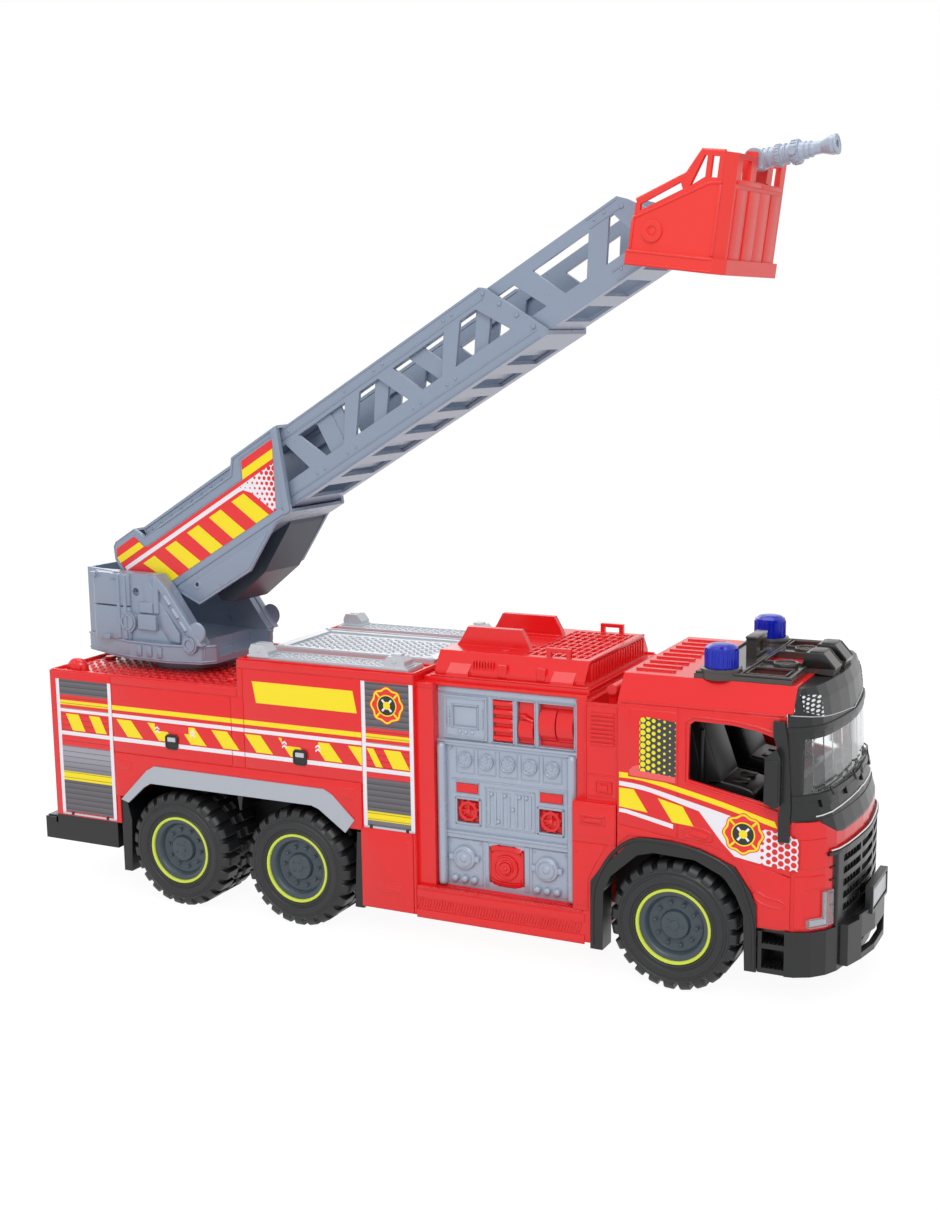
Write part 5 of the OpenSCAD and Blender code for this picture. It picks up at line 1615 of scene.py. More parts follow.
@dataclass
class CabSides:
    """The cab's doors, window films, stripes, badge, steps and arch lips.

    Attributes:
        wall: The side wall of the frame.
        skin: How far the panels stand out.
    """

    wall: float = 76.5
    skin: float = 0.45

    def panels(self) -> int:
        """Lays the door and its neighbours over the wall, with seams between them."""
        w, out = self.wall - SUNK, self.wall + self.skin
        door = plate(
            "door",
            [
                (200.7, 101.4), (222, 99.6), (272.8, 86.4), (272.8, 119.8), (264.6, 119.8), (264.6, 185.6),
                (200.7, 185.6),
            ],
            w, out, round_by=0.25,
        )
        window = plate(
            "window",
            [
                (205.2, 139.2), (266, 126.8), (266, 174.6), (250, 178.2), (235, 180.2), (210.4, 180.8),
                (205.4, 177),
            ],
            w - 2, out + 2, round_by=0,
        )
        parts = [cut(door, window)]
        parts += [
            plate(
                "corner", [(160.6, 106.8), (200.1, 101.6), (200.1, 185.6), (162.4, 185.6), (160.6, 183)], w,
                out, round_by=0.25,
            ),
            plate(
                "low", [(160.6, 93.0), (168, 99.6), (197.6, 100.2), (197.6, 101.4), (160.6, 106.2)], w, out,
                round_by=0.2,
            ),
            plate(
                "fender",
                [(232, 95.9), (242, 89.6), (248, 78), (251.6, 62), (252.6, 52), (272.8, 52), (272.8, 85.8)],
                w, out, round_by=0.25,
            ),
            plate(
                "rail", [(162.4, 186.2), (266, 186.2), (267.4, 187.4), (162.4, 187.4)], w, out,
                round_by=0.25,
            ),
        ]
        parts.append(tube("rim", [(205.2, out, 138.9), (264.6, out, 126.8)], 0.7))
        parts.append(tube(
            "rim",
            [
                (205, out, 140), (205, out, 177.4), (210, out, 181.2), (235, out, 180.6), (250, out, 178.6),
                (264.4, out, 175),
            ],
            0.6,
        ))
        oval = eased(
            [
                (205, 106.4), (206.5, 109.8), (213, 110.2), (222, 108), (223.6, 104.4), (221, 102.4),
                (213, 103), (206, 104.2), (205, 106.4),
            ],
            4,
        )
        parts += [
            tube("handle", [(x, out + 0.1, z) for x, z in oval], 0.55, closed=True),
            plate(
                "handle", [(208.4, 105.4), (220, 103.6), (220.6, 106.6), (208.8, 108.6)], out - 0.2,
                out + 0.7, round_by=0.3,
            ),
        ]
        slot = eased(
            [
                (250, 72.6), (252, 74.4), (258, 71.6), (267, 70), (270, 67.4), (268, 65.4), (260, 65.8),
                (252.6, 68.4), (250, 72.6),
            ],
            4,
        )
        parts += [
            tube("slot", [(x, out + 0.1, z) for x, z in slot], 0.55, closed=True),
            plate(
                "quarter", [(167.4, 138.6), (199.2, 136.8), (199.2, 182.8), (168.6, 182.8)], out - SUNK,
                out + 0.35, round_by=0.25,
            ),
        ]
        return paired("cab_side_panels", parts, Paint.RED)

    def films(self) -> int:
        """Lays the stripes, blocks, window film and dotted area."""
        low = self.wall + self.skin - 0.1
        top = low + 0.24
        over = [(161.4, 140.9), (177.5, 140.0), (204, 134.6), (230, 128.8), (253.8, 122.5), (262.5, 120.4)]
        under = [(264.4, 116.3), (260, 117.3), (230, 125.3), (204, 131.2), (177.5, 136.6), (161.4, 137.3)]
        yellow = [plate("stripe", eased(over, 3) + eased(under, 3), low, top, round_by=0)]
        for outline in (
            [(161.4, 130.6), (171.3, 130.4), (180.6, 116.3), (165.6, 117.8), (161.4, 118.2)],
            [(187.3, 126.6), (203.8, 122.9), (211, 110.9), (200.9, 111.6), (197, 112)],
        ):
            yellow.append(plate("block", outline, low, top, round_by=0))
        over = [(161.4, 134.9), (177.5, 133.6), (204, 127.8), (230, 121.8), (243, 118.4)]
        end = [
            (248, 116), (252.6, 115), (252.6, 92.6), (245, 93.8), (237.5, 95), (229, 103.4), (214.4, 121.3),
        ]
        under = [(204, 124.0), (190, 127.8), (177.5, 130.6), (161.4, 132.1)]
        white = [plate("stripe", eased(over, 3) + end + eased(under, 3), low, top, round_by=0)]
        white.append(plate(
            "stripe",
            [
                (161.4, 117.1), (166, 116.9), (181, 114), (197.6, 110.6), (197.6, 107.7), (181, 111.2),
                (166, 114.3), (161.4, 114.6),
            ],
            low, top, round_by=0,
        ))
        dots = plate(
            "dots",
            [
                (252.5, 114.9), (262, 114.4), (272.6, 112.4), (277.6, 110.6), (277.6, 90.6), (272.6, 90.4),
                (260, 91.6), (252.5, 92.7),
            ],
            low, top + 0.04, round_by=0,
        )
        window = plate(
            "film",
            [(175.2, 143.2), (199.0, 141.4), (199.0, 176.6), (194, 177.2), (178, 178.4), (175.2, 176.8)],
            low + 0.3, top + 0.42, round_by=0,
        )
        # The clear film's edge gets painted sheen: a pink that stands for its reflection over the red.
        clear = plate(
            "film",
            [
                (168.2, 142.8), (168.6, 139.6), (199.0, 137.6), (199.0, 141.5), (175.3, 143.3),
                (175.3, 147.2), (171, 145.6),
            ],
            low + 0.3, top + 0.4, round_by=0,
        )
        made = paired("cab_stripes_yellow", yellow, Paint.YELLOW)
        made += paired("cab_stripes_white", white, Paint.WHITE)
        made += paired("cab_dots", [dots], Paint.FENDER_DOTS)
        made += paired("quarter_film", [window], Paint.WINDOW_DOTS)
        made += paired("quarter_film_edge", [clear], Paint.PAINTED_SHEEN_FILM)
        return made + badge("cab_badge", 243, 110, 13.6, self.wall + self.skin + 0.14)

    def black_parts(self) -> int:
        """Makes the lips of the wheel arches, the mirrors' faces and the treads of the steps."""
        w, parts = self.wall, []
        outer = eased(
            [
                (143.6, 24), (143.8, 56), (148, 72), (158, 88), (170, 97.4), (184, 99.4), (206, 98.2),
                (228, 91.8), (240, 82), (247, 66), (250.4, 50), (250.8, 24),
            ],
            5,
        )
        parts.append(tube("lip", [(x, w + 1.2, z - 0.9) for x, z in outer], 1.3))
        for z in (25.2, 41.2):
            tread = block("tread", (256.4, w - 14, z - 0.2), (258, w - 0.6, z + 0.5), 0.3, 1)
            parts += [
                rows(tread, 6, (2.7, 0, 0)),
                block("nosing", (255, w - 1.2, z - 3), (271.6, w + 0.3, z + 0.2), 0.5),
            ]
        parts += [
            block("back", (255, w - 17, 24), (271, w - 15.6, 48), 0.3),
            block("glassback", (258.6, w + 8.8, 135), (266.4, w + 9.6, 161), 0.5, 3),
            block("hinge", (262, w + 2.5, 143), (268, w + 5.2, 146), 0.6),
            block("hinge", (262, w + 2.5, 157), (268, w + 5.2, 160), 0.6),
        ]
        return paired("cab_black_parts", parts, Paint.BLACK)

    def build(self) -> int:
        """Makes everything on the cab's sides."""
        return self.panels() + self.films() + self.black_parts()


@dataclass
class Nose:
    """The small parts that follow the cab's curved front.

    Attributes:
        line: The front's outline in plan, as x, y and the direction outwards.
        lean: How far the front lies back at each height.
    """

    line: tuple[tuple[float, float, float, float], ...] = (
        (264, 76.5, 0, 1), (275, 75, 0.3, 0.95), (284, 70.5, 0.6, 0.8), (291, 63, 0.82, 0.57),
        (295.5, 54, 0.94, 0.33), (298, 42, 0.98, 0.17), (300, 26, 1, 0.1), (301.5, 8, 1, 0.04),
        (301.7, 0, 1, 0),
    )
    lean: tuple[Point2, ...] = ((0, 0), (112, 0), (137, 7.5), (173, 9), (194, 12), (202, 15))

    def at(self, u: float, z: float, out: float = 0.0) -> Point3:
        """Finds a place on the front.

        Args:
            u: How far along the outline, in its own steps: 0 at the side, 8 in the middle.
            z: The height.
            out: How far in front of the surface.

        Returns:
            The place in millimetres.
        """
        i = min(int(u), len(self.line) - 2)
        t = u - i
        x, y, nx, ny = (a + (b - a) * t for a, b in zip(self.line[i], self.line[i + 1]))
        back = 0.0
        for (z0, b0), (z1, b1) in zip(self.lean, self.lean[1:]):
            if z0 <= z <= z1:
                back = b0 + (b1 - b0) * (z - z0) / (z1 - z0)
        return (x + out * nx - back, y + out * ny, z)

    def patch(
        self, name: str, u: Point2, low: Point2, high: Point2, out: float, thickness: float, count: int = 10,
    ) -> Object:
        """Makes a curved plate between two outline places, from heights low to high at its two ends."""
        grid = []
        for j in range(5):
            row = []
            for i in range(count):
                t = i / (count - 1)
                z0, z1 = low[0] + (low[1] - low[0]) * t, high[0] + (high[1] - high[0]) * t
                row.append(self.at(u[0] + (u[1] - u[0]) * t, z0 + (z1 - z0) * j / 4, out))
            grid.append(row)
        return skinned(name, grid, thickness)

    def line_at(self, name: str, u: Point2, z: Point2, out: float, radius: float, count: int = 24) -> Object:
        """Makes a thin bar along the front."""
        path = []
        for i in range(count):
            t = i / (count - 1)
            path.append(self.at(u[0] + (u[1] - u[0]) * t, z[0] + (z[1] - z[0]) * t, out))
        return tube(name, path, radius)

    def build(self) -> int:
        """Makes the visor film, trims, wipers, lamp housings, grille bars and blank plate."""
        bright = [
            self.line_at("bright", (2.6, 8), (123.4, 126.4), 0.3, 0.55),
            self.line_at("bright", (3.3, 8), (101.4, 101.4), 1.8, 0.6),
        ]
        pale = [self.line_at("pale", (1.6, 8), (186.6, 178.0), 0.2, 0.32)]
        made = paired("nose_bright_lines", bright, Paint.CHROME)
        made += paired("visor_line", pale, Paint.PALE)
        made += paired(
            "visor_film", [self.patch("film", (2.5, 4.1), (188.6, 183.0), (198.6, 196.8), 0.3, 0.3)],
            Paint.VISOR_DOTS,
        )
        black = [
            self.patch("lip", (0.4, 8), (176, 175), (179.4, 177.4), 0.5, 1.2, 24),
            self.patch("ledge", (1.0, 8), (133.0, 133.0), (136.4, 136.4), 0.6, 1.3, 24),
            self.patch("housing", (3.2, 4.9), (128.6, 129.4), (133.2, 133.8), 1.0, 1.4),
            self.patch("housing", (5.8, 7.4), (129.4, 129.4), (133.8, 133.8), 1.0, 1.4),
            self.line_at("seam", (0.8, 8), (121.4, 121.4), 0.2, 0.4),
            self.line_at("blade", (3.2, 5.6), (139.0, 141.6), 1.2, 0.6),
            self.line_at("blade", (5.8, 8.0), (139.6, 143.0), 1.2, 0.6),
            self.line_at("arm", (4.6, 4.2), (133.0, 140.2), 1.5, 0.6, 4),
            self.line_at("arm", (7.0, 6.8), (133.0, 141.0), 1.5, 0.6, 4),
            self.patch("hood", (3.1, 8), (98.4, 98.4), (100.4, 100.4), 1.6, 2.2, 24),
        ]
        for k in range(14):
            u = 3.7 + 0.32 * k
            black.append(self.line_at("bar", (u, u), (57.5, 98.6), -0.4, 0.55, 3))
        for z in (66.0, 74.0, 82.0, 90.0):
            black.append(self.line_at("slat", (3.4, 8), (z, z), 0.5, 0.6))
        made += paired("nose_black_parts", black, Paint.BLACK)
        red = [
            self.patch("corner", (1.3, 3.2), (91.4, 91.4), (109.6, 109.6), 0.3, 0.5),
            self.patch("cheek", (1.0, 3.0), (78.0, 78.0), (86.2, 86.2), 0.3, 0.5),
            self.patch("cheek", (1.0, 1.62), (52.6, 52.6), (78.0, 78.0), 0.3, 0.5),
        ]
        made += paired("nose_red_panels", red, Paint.RED)
        base = [
            self.patch("base", (1.95, 3.1), (54.4, 54.4), (58.2, 58.2), 0.35, 0.3),
            self.patch("base", (2.95, 3.1), (58.2, 58.2), (75.2, 75.2), 0.35, 0.3, 4),
        ]
        rim = [
            self.line_at("rim", (1.9, 3.18), (53.4, 53.4), 1.3, 0.4),
            self.line_at("rim", (1.9, 2.85), (59.2, 59.2), 1.3, 0.4),
            self.line_at("rim", (2.85, 2.85), (59.2, 76.2), 1.3, 0.4, 3),
            self.line_at("rim", (3.18, 3.18), (53.4, 76.2), 1.3, 0.4, 3),
        ]
        for k in range(9):
            z = 60.5 + 1.8 * k
            rim.append(self.line_at("ray", (2.88, 3.16), (z, z + 0.6), 1.25, 0.22, 3))
        made += paired("lamp_bases", base, Paint.PALE)
        made += paired("lamp_rims", rim, Paint.LENS)
        blank = block("blank", (310.6, -18.6, 53.2), (311.7, 18.6, 64.8), 0.5)
        made += finished(blank, Paint.PALE)
        mesh = [block("mesh", (300.4, -44 + 4 * k, 26), (301.6, -43 + 4 * k, 50), 0.3) for k in range(23)]
        mesh += [block("mesh", (300.6, -46, z), (301.4, 46, z + 1), 0.3) for z in (29, 34, 40, 46)]
        return made + single("lower_mesh", mesh, Paint.BLACK)


@dataclass
class CabTop:
    """The roof's ribs and rack, the beacons' ribs, and the seats inside.

    Attributes:
        roof: The cab roof's height.
    """

    roof: float = 203.0

    def rack(self) -> int:
        """Makes the vents, rails, lamp faces and clips of the roof rack."""
        z, parts, dark = self.roof + 3, [], []
        for y in (-62.6, 60.6):
            parts.append(block("rail", (206.4, y, z - 0.2), (267.6, y + 2, z + 1.6), 0.6))
        for x in (206.6, 233.2, 264.8):
            parts.append(block("rail", (x, -62, z - 0.2), (x + 2.2, 62, z + 1.4), 0.6))
        parts += border("hatch", (236.8, -17), (262.8, 17), 1.2, z - 0.2, z + 1.8, 0.4, flat=True)
        for side in (-1, 1):
            y = side * 26
            parts.append(turned(
                "vent", [(6.6, 0), (8.2, 0), (8.0, 1.4), (7.4, 1.8), (6.7, 1.2)], (254, y, z + 1.9), "Z",
                32, True,
            ))
            for k in range(-3, 4):
                half = math.sqrt(max(6.4**2 - (1.8 * k) ** 2, 0.1))
                parts.append(block(
                    "slat", (254 + 1.8 * k - 0.5, y - half, z + 1.8),
                    (254 + 1.8 * k + 0.5, y + half, z + 3.0), 0.3,
                ))
            parts += border(
                "frame", (237.2, side * 47 - 11), (262.8, side * 47 + 11), 1.1, z - 0.2, z + 1.6, 0.4,
                flat=True,
            )
            parts += [
                block("clip", (213, side * 36 - 3, z - 0.3), (219, side * 36 + 3, z + 3.6), 1.0, 3),
                turned(
                    "cup", [(10.4, 0), (13.2, 0), (12.9, 1.6), (12.2, 2.1), (10.6, 2.0)],
                    (221, side * 55, self.roof + 4.6), "Z", 40, True,
                ),
            ]
            lamp = [(263.4, z), (284.4, z + 0.6), (285.2, z + 1.4), (277.4, z + 10.2), (266, z + 10.2)]
            for y0 in (side * 15 - 9.4, side * 15 + 7.6):
                dark.append(plate("cheek", lamp, y0, y0 + 1.8, round_by=0.5))
            dark.append(block("brow", (268, side * 15 - 7.6, z + 9.6), (277, side * 15 + 7.6, z + 11.0), 0.6))
        parts.append(block("post", (223.6, -13, 219.6), (231.4, 13, 221.6), 0.8, 3))
        made = single("roof_rack_parts", parts, Paint.SMOKE)
        made += single("work_lamp_frames", dark, Paint.BLACK)
        lime = turned(
            "lime_disc", [(0, 2.2), (6.2, 2.0), (7.4, 1.2), (7.6, 0), (0, 0)], (262, 34, z - 0.2), "Z", 36,
        )
        return made + finished(lime, Paint.LIME)

    def beacons(self) -> int:
        """Makes the ribs and caps of the two beacons."""
        parts = []
        for side in (-1, 1):
            x, y = 221, side * 55
            rib = block("rib", (x + 9.9, y - 0.5, 209.5), (x + 10.7, y + 0.5, 220.6), 0.3, 1)
            parts += [
                around(rib, 26, (x, y, 0), (0, 0, 1)),
                turned("cap", [(0, 1.6), (5, 1.5), (7.6, 1.0), (8.6, 0), (0, 0)], (x, y, 222.8), "Z", 36),
                turned(
                    "band", [(10.1, 0), (10.9, 0.2), (10.9, 1.4), (10.1, 1.6)], (x, y, 207.8), "Z", 40,
                    True,
                ),
                turned("core", [(0, 11), (2.6, 10.4), (3.4, 8), (3.4, 0), (0, 0)], (x, y, 208.4), "Z", 24),
            ]
        return single("beacon_ribs", parts, Paint.BLUE)

    def seats(self) -> int:
        """Makes the rounded seats with their channels, a post and the door linings."""
        parts = []
        back = plate(
            "back",
            eased(
                [(206, 130), (200, 160), (198.4, 171), (201, 176.4), (207, 176), (212, 160), (222, 132)], 3,
            ),
            15, 51, round_by=3.0, segments=3,
        )
        cushion = plate(
            "cushion",
            eased([(206, 124), (212, 135), (226, 134), (238, 131.6), (243, 127.6), (240, 122)], 3), 15, 51,
            round_by=3.0, segments=3,
        )
        parts += [back, cushion]
        for y in (22, 38):
            parts.append(block("channel", (226, y - 0.6, 133), (236, y + 7, 134.6), 0.6))
        parts += [
            block("post", (207, 52.5, 118), (210, 55, 168), 0.8),
            block("lining", (263, 60, 120), (270, 70, 132), 1.2),
        ]
        return paired("seats", parts, Paint.CABIN)

    def build(self) -> int:
        """Makes everything on and in the cab."""
        return self.rack() + self.beacons() + self.seats()


# Where the turret, ladder, basket and nozzle stand and how they are turned.
TURRET_PLACE = shift(-218, 0, 0) @ turned_by(-4.5, "Z")
BOOM_PLACE = TURRET_PLACE @ shift(-17, 0, 228) @ turned_by(-30, "Y")
BASKET_PLACE = BOOM_PLACE @ shift(489.5, 0, 2.5) @ turned_by(37.5, "Y")
NOZZLE_PLACE = BASKET_PLACE @ shift(41, 0, 47.5) @ turned_by(-14.5, "Y")


@dataclass
class Ladder:
    """The ladder housing's films, rims and rivets, and the rails of the two ladder sections.

    Attributes:
        side: The housing's side face, from the ladder's middle.
        outer: The lower section's side face.
        inner: The upper section's side face.
    """

    side: float = 33.0
    outer: float = 28.0
    inner: float = 24.25

    def put(self, name: str, parts: list[Object], finish: Finish, body: str = "ladder") -> int:
        """Lays parts along both sides of the ladder."""
        return paired(name, parts, finish, body, BOOM_PLACE)

    def films(self) -> int:
        """Lays the red film with its yellow blocks, white line and dots."""
        y = self.side
        red = [
            plate(
                "film",
                [
                    (-13.4, 34), (-10.2, 40), (10.8, 40), (16.0, 28.8), (19, 27.2), (126.4, 27.2),
                    (132.5, 39.2), (165.2, 39.2), (141.3, -5.3), (-7, -5.3),
                ],
                y - SUNK, y + 0.15, round_by=0,
            )
        ]
        yellow = [
            plate("band", [(-13.2, 34), (13.2, 34), (15.6, 28.9), (-12.6, 28.9)], y, y + 0.27, round_by=0),
            plate(
                "band", [(126.6, 27.2), (129.6, 33.4), (162.0, 33.4), (158.6, 27.2)], y, y + 0.27,
                round_by=0,
            ),
        ]
        tops = ((8, 21), (33.7, 46), (59, 71.7), (83.8, 96.7), (108.7, 121.7))
        lows = ((23.7, 34), (46, 59), (71, 84), (95.5, 108.7), (120.5, 134))
        for (t0, t1), (b0, b1) in zip(tops, lows):
            yellow.append(plate(
                "block", [(t0, 18.5), (t1, 18.5), (b1, -5.2), (b0, -5.2)], y, y + 0.27, round_by=0,
            ))
        white = plate(
            "line", [(-10, 21.2), (118, 21.2), (123, 20.6), (124, 23.6), (122, 24.4), (-10, 24.4)], y,
            y + 0.27, round_by=0,
        )
        dots = plate(
            "dots",
            [(121, 24.4), (157.0, 24.4), (141.2, -5.2), (139.2, -5.2), (128.4, 15.6), (122.6, 20.8)], y,
            y + 0.3, round_by=0,
        )
        made = self.put("ladder_film", red, Paint.RED_FILM)
        made += self.put("ladder_blocks", yellow, Paint.YELLOW)
        made += self.put("ladder_line", [white], Paint.WHITE)
        return made + self.put("ladder_dots", [dots], Paint.LADDER_DOTS)

    def housing(self) -> int:
        """Makes the housing's rims, rivets and screws, and the rails of the lower section."""
        y, parts = self.side, []
        rear_rim = [(-14, 33.6), (-11.4, 42.6), (-8, 44.4), (13.4, 44.4), (19.4, 34.6), (40, 34.6)]
        parts.append(tube("rim", [(a, y, p) for a, p in rear_rim], 0.5))
        rim = [(38, 34.6), (118.4, 34.6), (126.4, 44.8), (171.6, 44.8)]
        parts.append(tube("rim", [(a, y + 0.1, p) for a, p in rim], 1.1))
        inner_rim = [(10.6, 41.4), (17.2, 29.0), (20, 28.2), (125.6, 28.2), (131.6, 41.0), (166.6, 41.0)]
        parts += [
            tube("rim", [(a, y, p) for a, p in inner_rim], 0.5),
            plate(
                "front", [(167.6, 45.2), (173.4, 45.2), (152.0, -11.8), (146.2, -11.8)], y - 0.2, y + 1.2,
                round_by=0.5,
            ),
            plate(
                "sill", [(24, -6.1), (146, -6.1), (147.6, -10.8), (26, -10.8)], y - 0.2, y + 1.0,
                round_by=0.4,
            ),
            plate(
                "belly", [(30, -14.6), (128, -14.6), (96, -30.4), (41.6, -30.4)], y - 0.2, y + 0.4,
                round_by=0.3,
            ),
            turned(
                "eye", [(1.5, 0), (3.4, 0), (3.2, 0.5), (2.6, 0.6), (1.6, 0.4)], (46.7, y + 0.2, -18.5),
                closed=True,
            ),
        ]
        for k in range(9):
            parts.append(knob("rivet", 26 + 11.35 * k, self.outer - 0.05, 38.2, 1.15, 0.8))
        parts.append(block("recess", (20, self.outer - 0.2, 40.6), (118, self.outer + 1.0, 42.6), 0.4))
        for a, p in (
            (177.5, 38.6), (234, 38.6), (262.5, 38.6), (270.7, 38.6), (327, 38.6), (334.5, 38.6),
            (184, 1.4), (191, 1.4), (214, 1.4), (222, 1.4), (276.8, 1.4), (284, 1.4), (308, 1.4),
            (315.7, 1.4),
        ):
            parts.append(knob("rivet", a, self.outer - 0.05, p, 1.2, 0.8))
        for a, p in ((361.6, 38.0), (369.0, 26), (376.4, 13.2), (383, 0.7)):
            parts.append(rod("bolt", (a, self.outer - SUNK, p), (a, self.outer + 1.0, p), 1.5, 16, 0.4))
        for p in (41.4, 34.8, -2.6, -7.6):
            parts.append(block(
                "strip", (155, self.outer - SUNK, p), (361 if p > 20 else 384, self.outer + 0.45, p + 1.1),
                0.3,
            ))
        made = self.put("housing_rims", parts, Paint.LADDER)
        made += self.put(
            "housing_screws", [rod("screw", (46.7, y - 0.5, -18.5), (46.7, y + 0.7, -18.5), 1.7, 20, 0.3)],
            Paint.BLACK,
        )
        cover = [
            block("top", (128, -30, 45.2), (172, 30, 46.3), 0.5),
            block("top", (-8, -30, 44.7), (12, 30, 45.8), 0.5),
            block("slat", (134, -24, 46), (137, 24, 47.1), 0.5),
            block("slat", (147, -24, 46), (150, 24, 47.1), 0.5),
            block("slat", (160, -24, 46), (163, 24, 47.1), 0.5),
        ]
        return made + single("housing_covers", cover, Paint.LADDER, "ladder", BOOM_PLACE)

    def upper(self) -> int:
        """Makes the rivets and rims at the upper section's end, which stay clear of the lower section."""
        y, parts = self.inner, []
        for a, p in ((451, 36.4), (459, 36.4), (452, 0.6)):
            parts.append(knob("rivet", a, y - 0.05, p, 1.1, 0.7))
        for a, p in ((471, 33), (477.5, 22), (484.4, 9)):
            parts.append(rod("bolt", (a, y - SUNK, p), (a, y + 0.8, p), 1.4, 16, 0.4))
        for p in (38.4, 32.6, 1.6, -4.8):
            parts.append(block("strip", (446, y - SUNK, p), (470 if p > 20 else 486, y + 0.4, p + 1.0), 0.3))
        return self.put("upper_ladder_rivets", parts, Paint.LADDER, "ladder_extension")

    def build(self) -> int:
        """Makes everything on the ladder."""
        return self.films() + self.housing() + self.upper()


@dataclass
class Turret:
    """The blocks, ribs and bosses on the turntable's cheeks and rear."""

    def build(self) -> int:
        """Makes both cheeks' parts, the rear's ribs and the skirt's rims."""
        parts = []
        weight = [(-62, 38), (-59, 46.6), (-56, 48.2), (-24, 48.8), (-22, 46.8), (-22, 42), (-62, 37.4)]
        parts += [
            plate("weight", weight, 191, 216.2, View.PLAN, 0.7),
            plate("weight", weight, 217.2, 241.6, View.PLAN, 0.7),
        ]
        for u in (-33.4, -27.0):
            parts.append(block("band", (u, 47.6, 192), (u + 3.2, 49.9, 241.2), 0.8, 3))
        for u, z in ((-56, 239.6), (-36, 239.6), (-44, 192.4)):
            parts.append(block("tab", (u - 2.8, 45, z - 2), (u + 2.8, 50.2, z + 2), 0.6))
        parts += [
            block("ridge", (1, 44, 213), (6, 47.4, 238.6), 0.8, 3),
            block("step", (-14, 44, 200), (4, 49.0, 212), 1.0, 3),
            block("step", (-14, 44, 212.6), (0, 47.2, 221), 1.0, 3),
            plate(
                "band", [(3, 242), (12.6, 234), (46, 191.4), (37, 191.4), (7, 230), (-3, 241)], 40.6, 47.0,
                round_by=0.8,
            ),
            plate(
                "band", [(-3, 236), (2, 228), (24, 199), (24, 192), (14, 192), (-10, 222), (-10, 236)],
                40.6, 45.8, round_by=0.8,
            ),
        ]
        for k in range(3):
            u = 12 + 7.2 * k
            parts.append(tube("rib", [(u, 46.9, 227 - 9.2 * k), (u + 5.2, 46.9, 220.4 - 9.2 * k)], 1.7))
        parts.append(turned(
            "boss", [(0, 2.2), (4.6, 2.0), (7.4, 1.4), (8.4, 0), (0, 0)], (40, 44.6, 201), "Y", 32,
        ))
        for u, z, r in ((34, 192, 5.6), (-24, 205, 6.4)):
            parts.append(turned(
                "rim", [(r - 2, 0), (r, 0), (r - 0.2, 0.9), (r - 1.8, 0.9)], (u, 47 if u > 0 else 49, z),
                "Y", 28, True,
            ))
        skirt = [(49, 34), (42, 43), (14, 50), (-22, 50), (-40, 46), (-77, 34)]
        parts += [
            tube("rim", [(u, v, 190.4) for u, v in skirt], 0.9),
            tube("rim", [(u, v, 179) for u, v in skirt], 0.7),
        ]
        for u in (-12, -2, 8):
            parts.append(block("foot", (u - 2.4, 49, 180.4), (u + 2.4, 51.2, 188.6), 0.6))
        made = paired("turret_parts", parts, Paint.LADDER, "turret", TURRET_PLACE)
        rear = [block("rib", (-78.4, -27, z), (-76.4, 27, z + 3), 0.7) for z in (198, 208, 218, 228)]
        rear += [block("post", (-78.8, y - 1.6, 193), (-76.4, y + 1.6, 238), 0.7) for y in (-28, 28)]
        rear.append(block("lip", (-78.4, -31, 238.6), (-75.6, 31, 241.8), 0.8))
        return made + single("turret_rear_ribs", rear, Paint.LADDER, "turret", TURRET_PLACE)


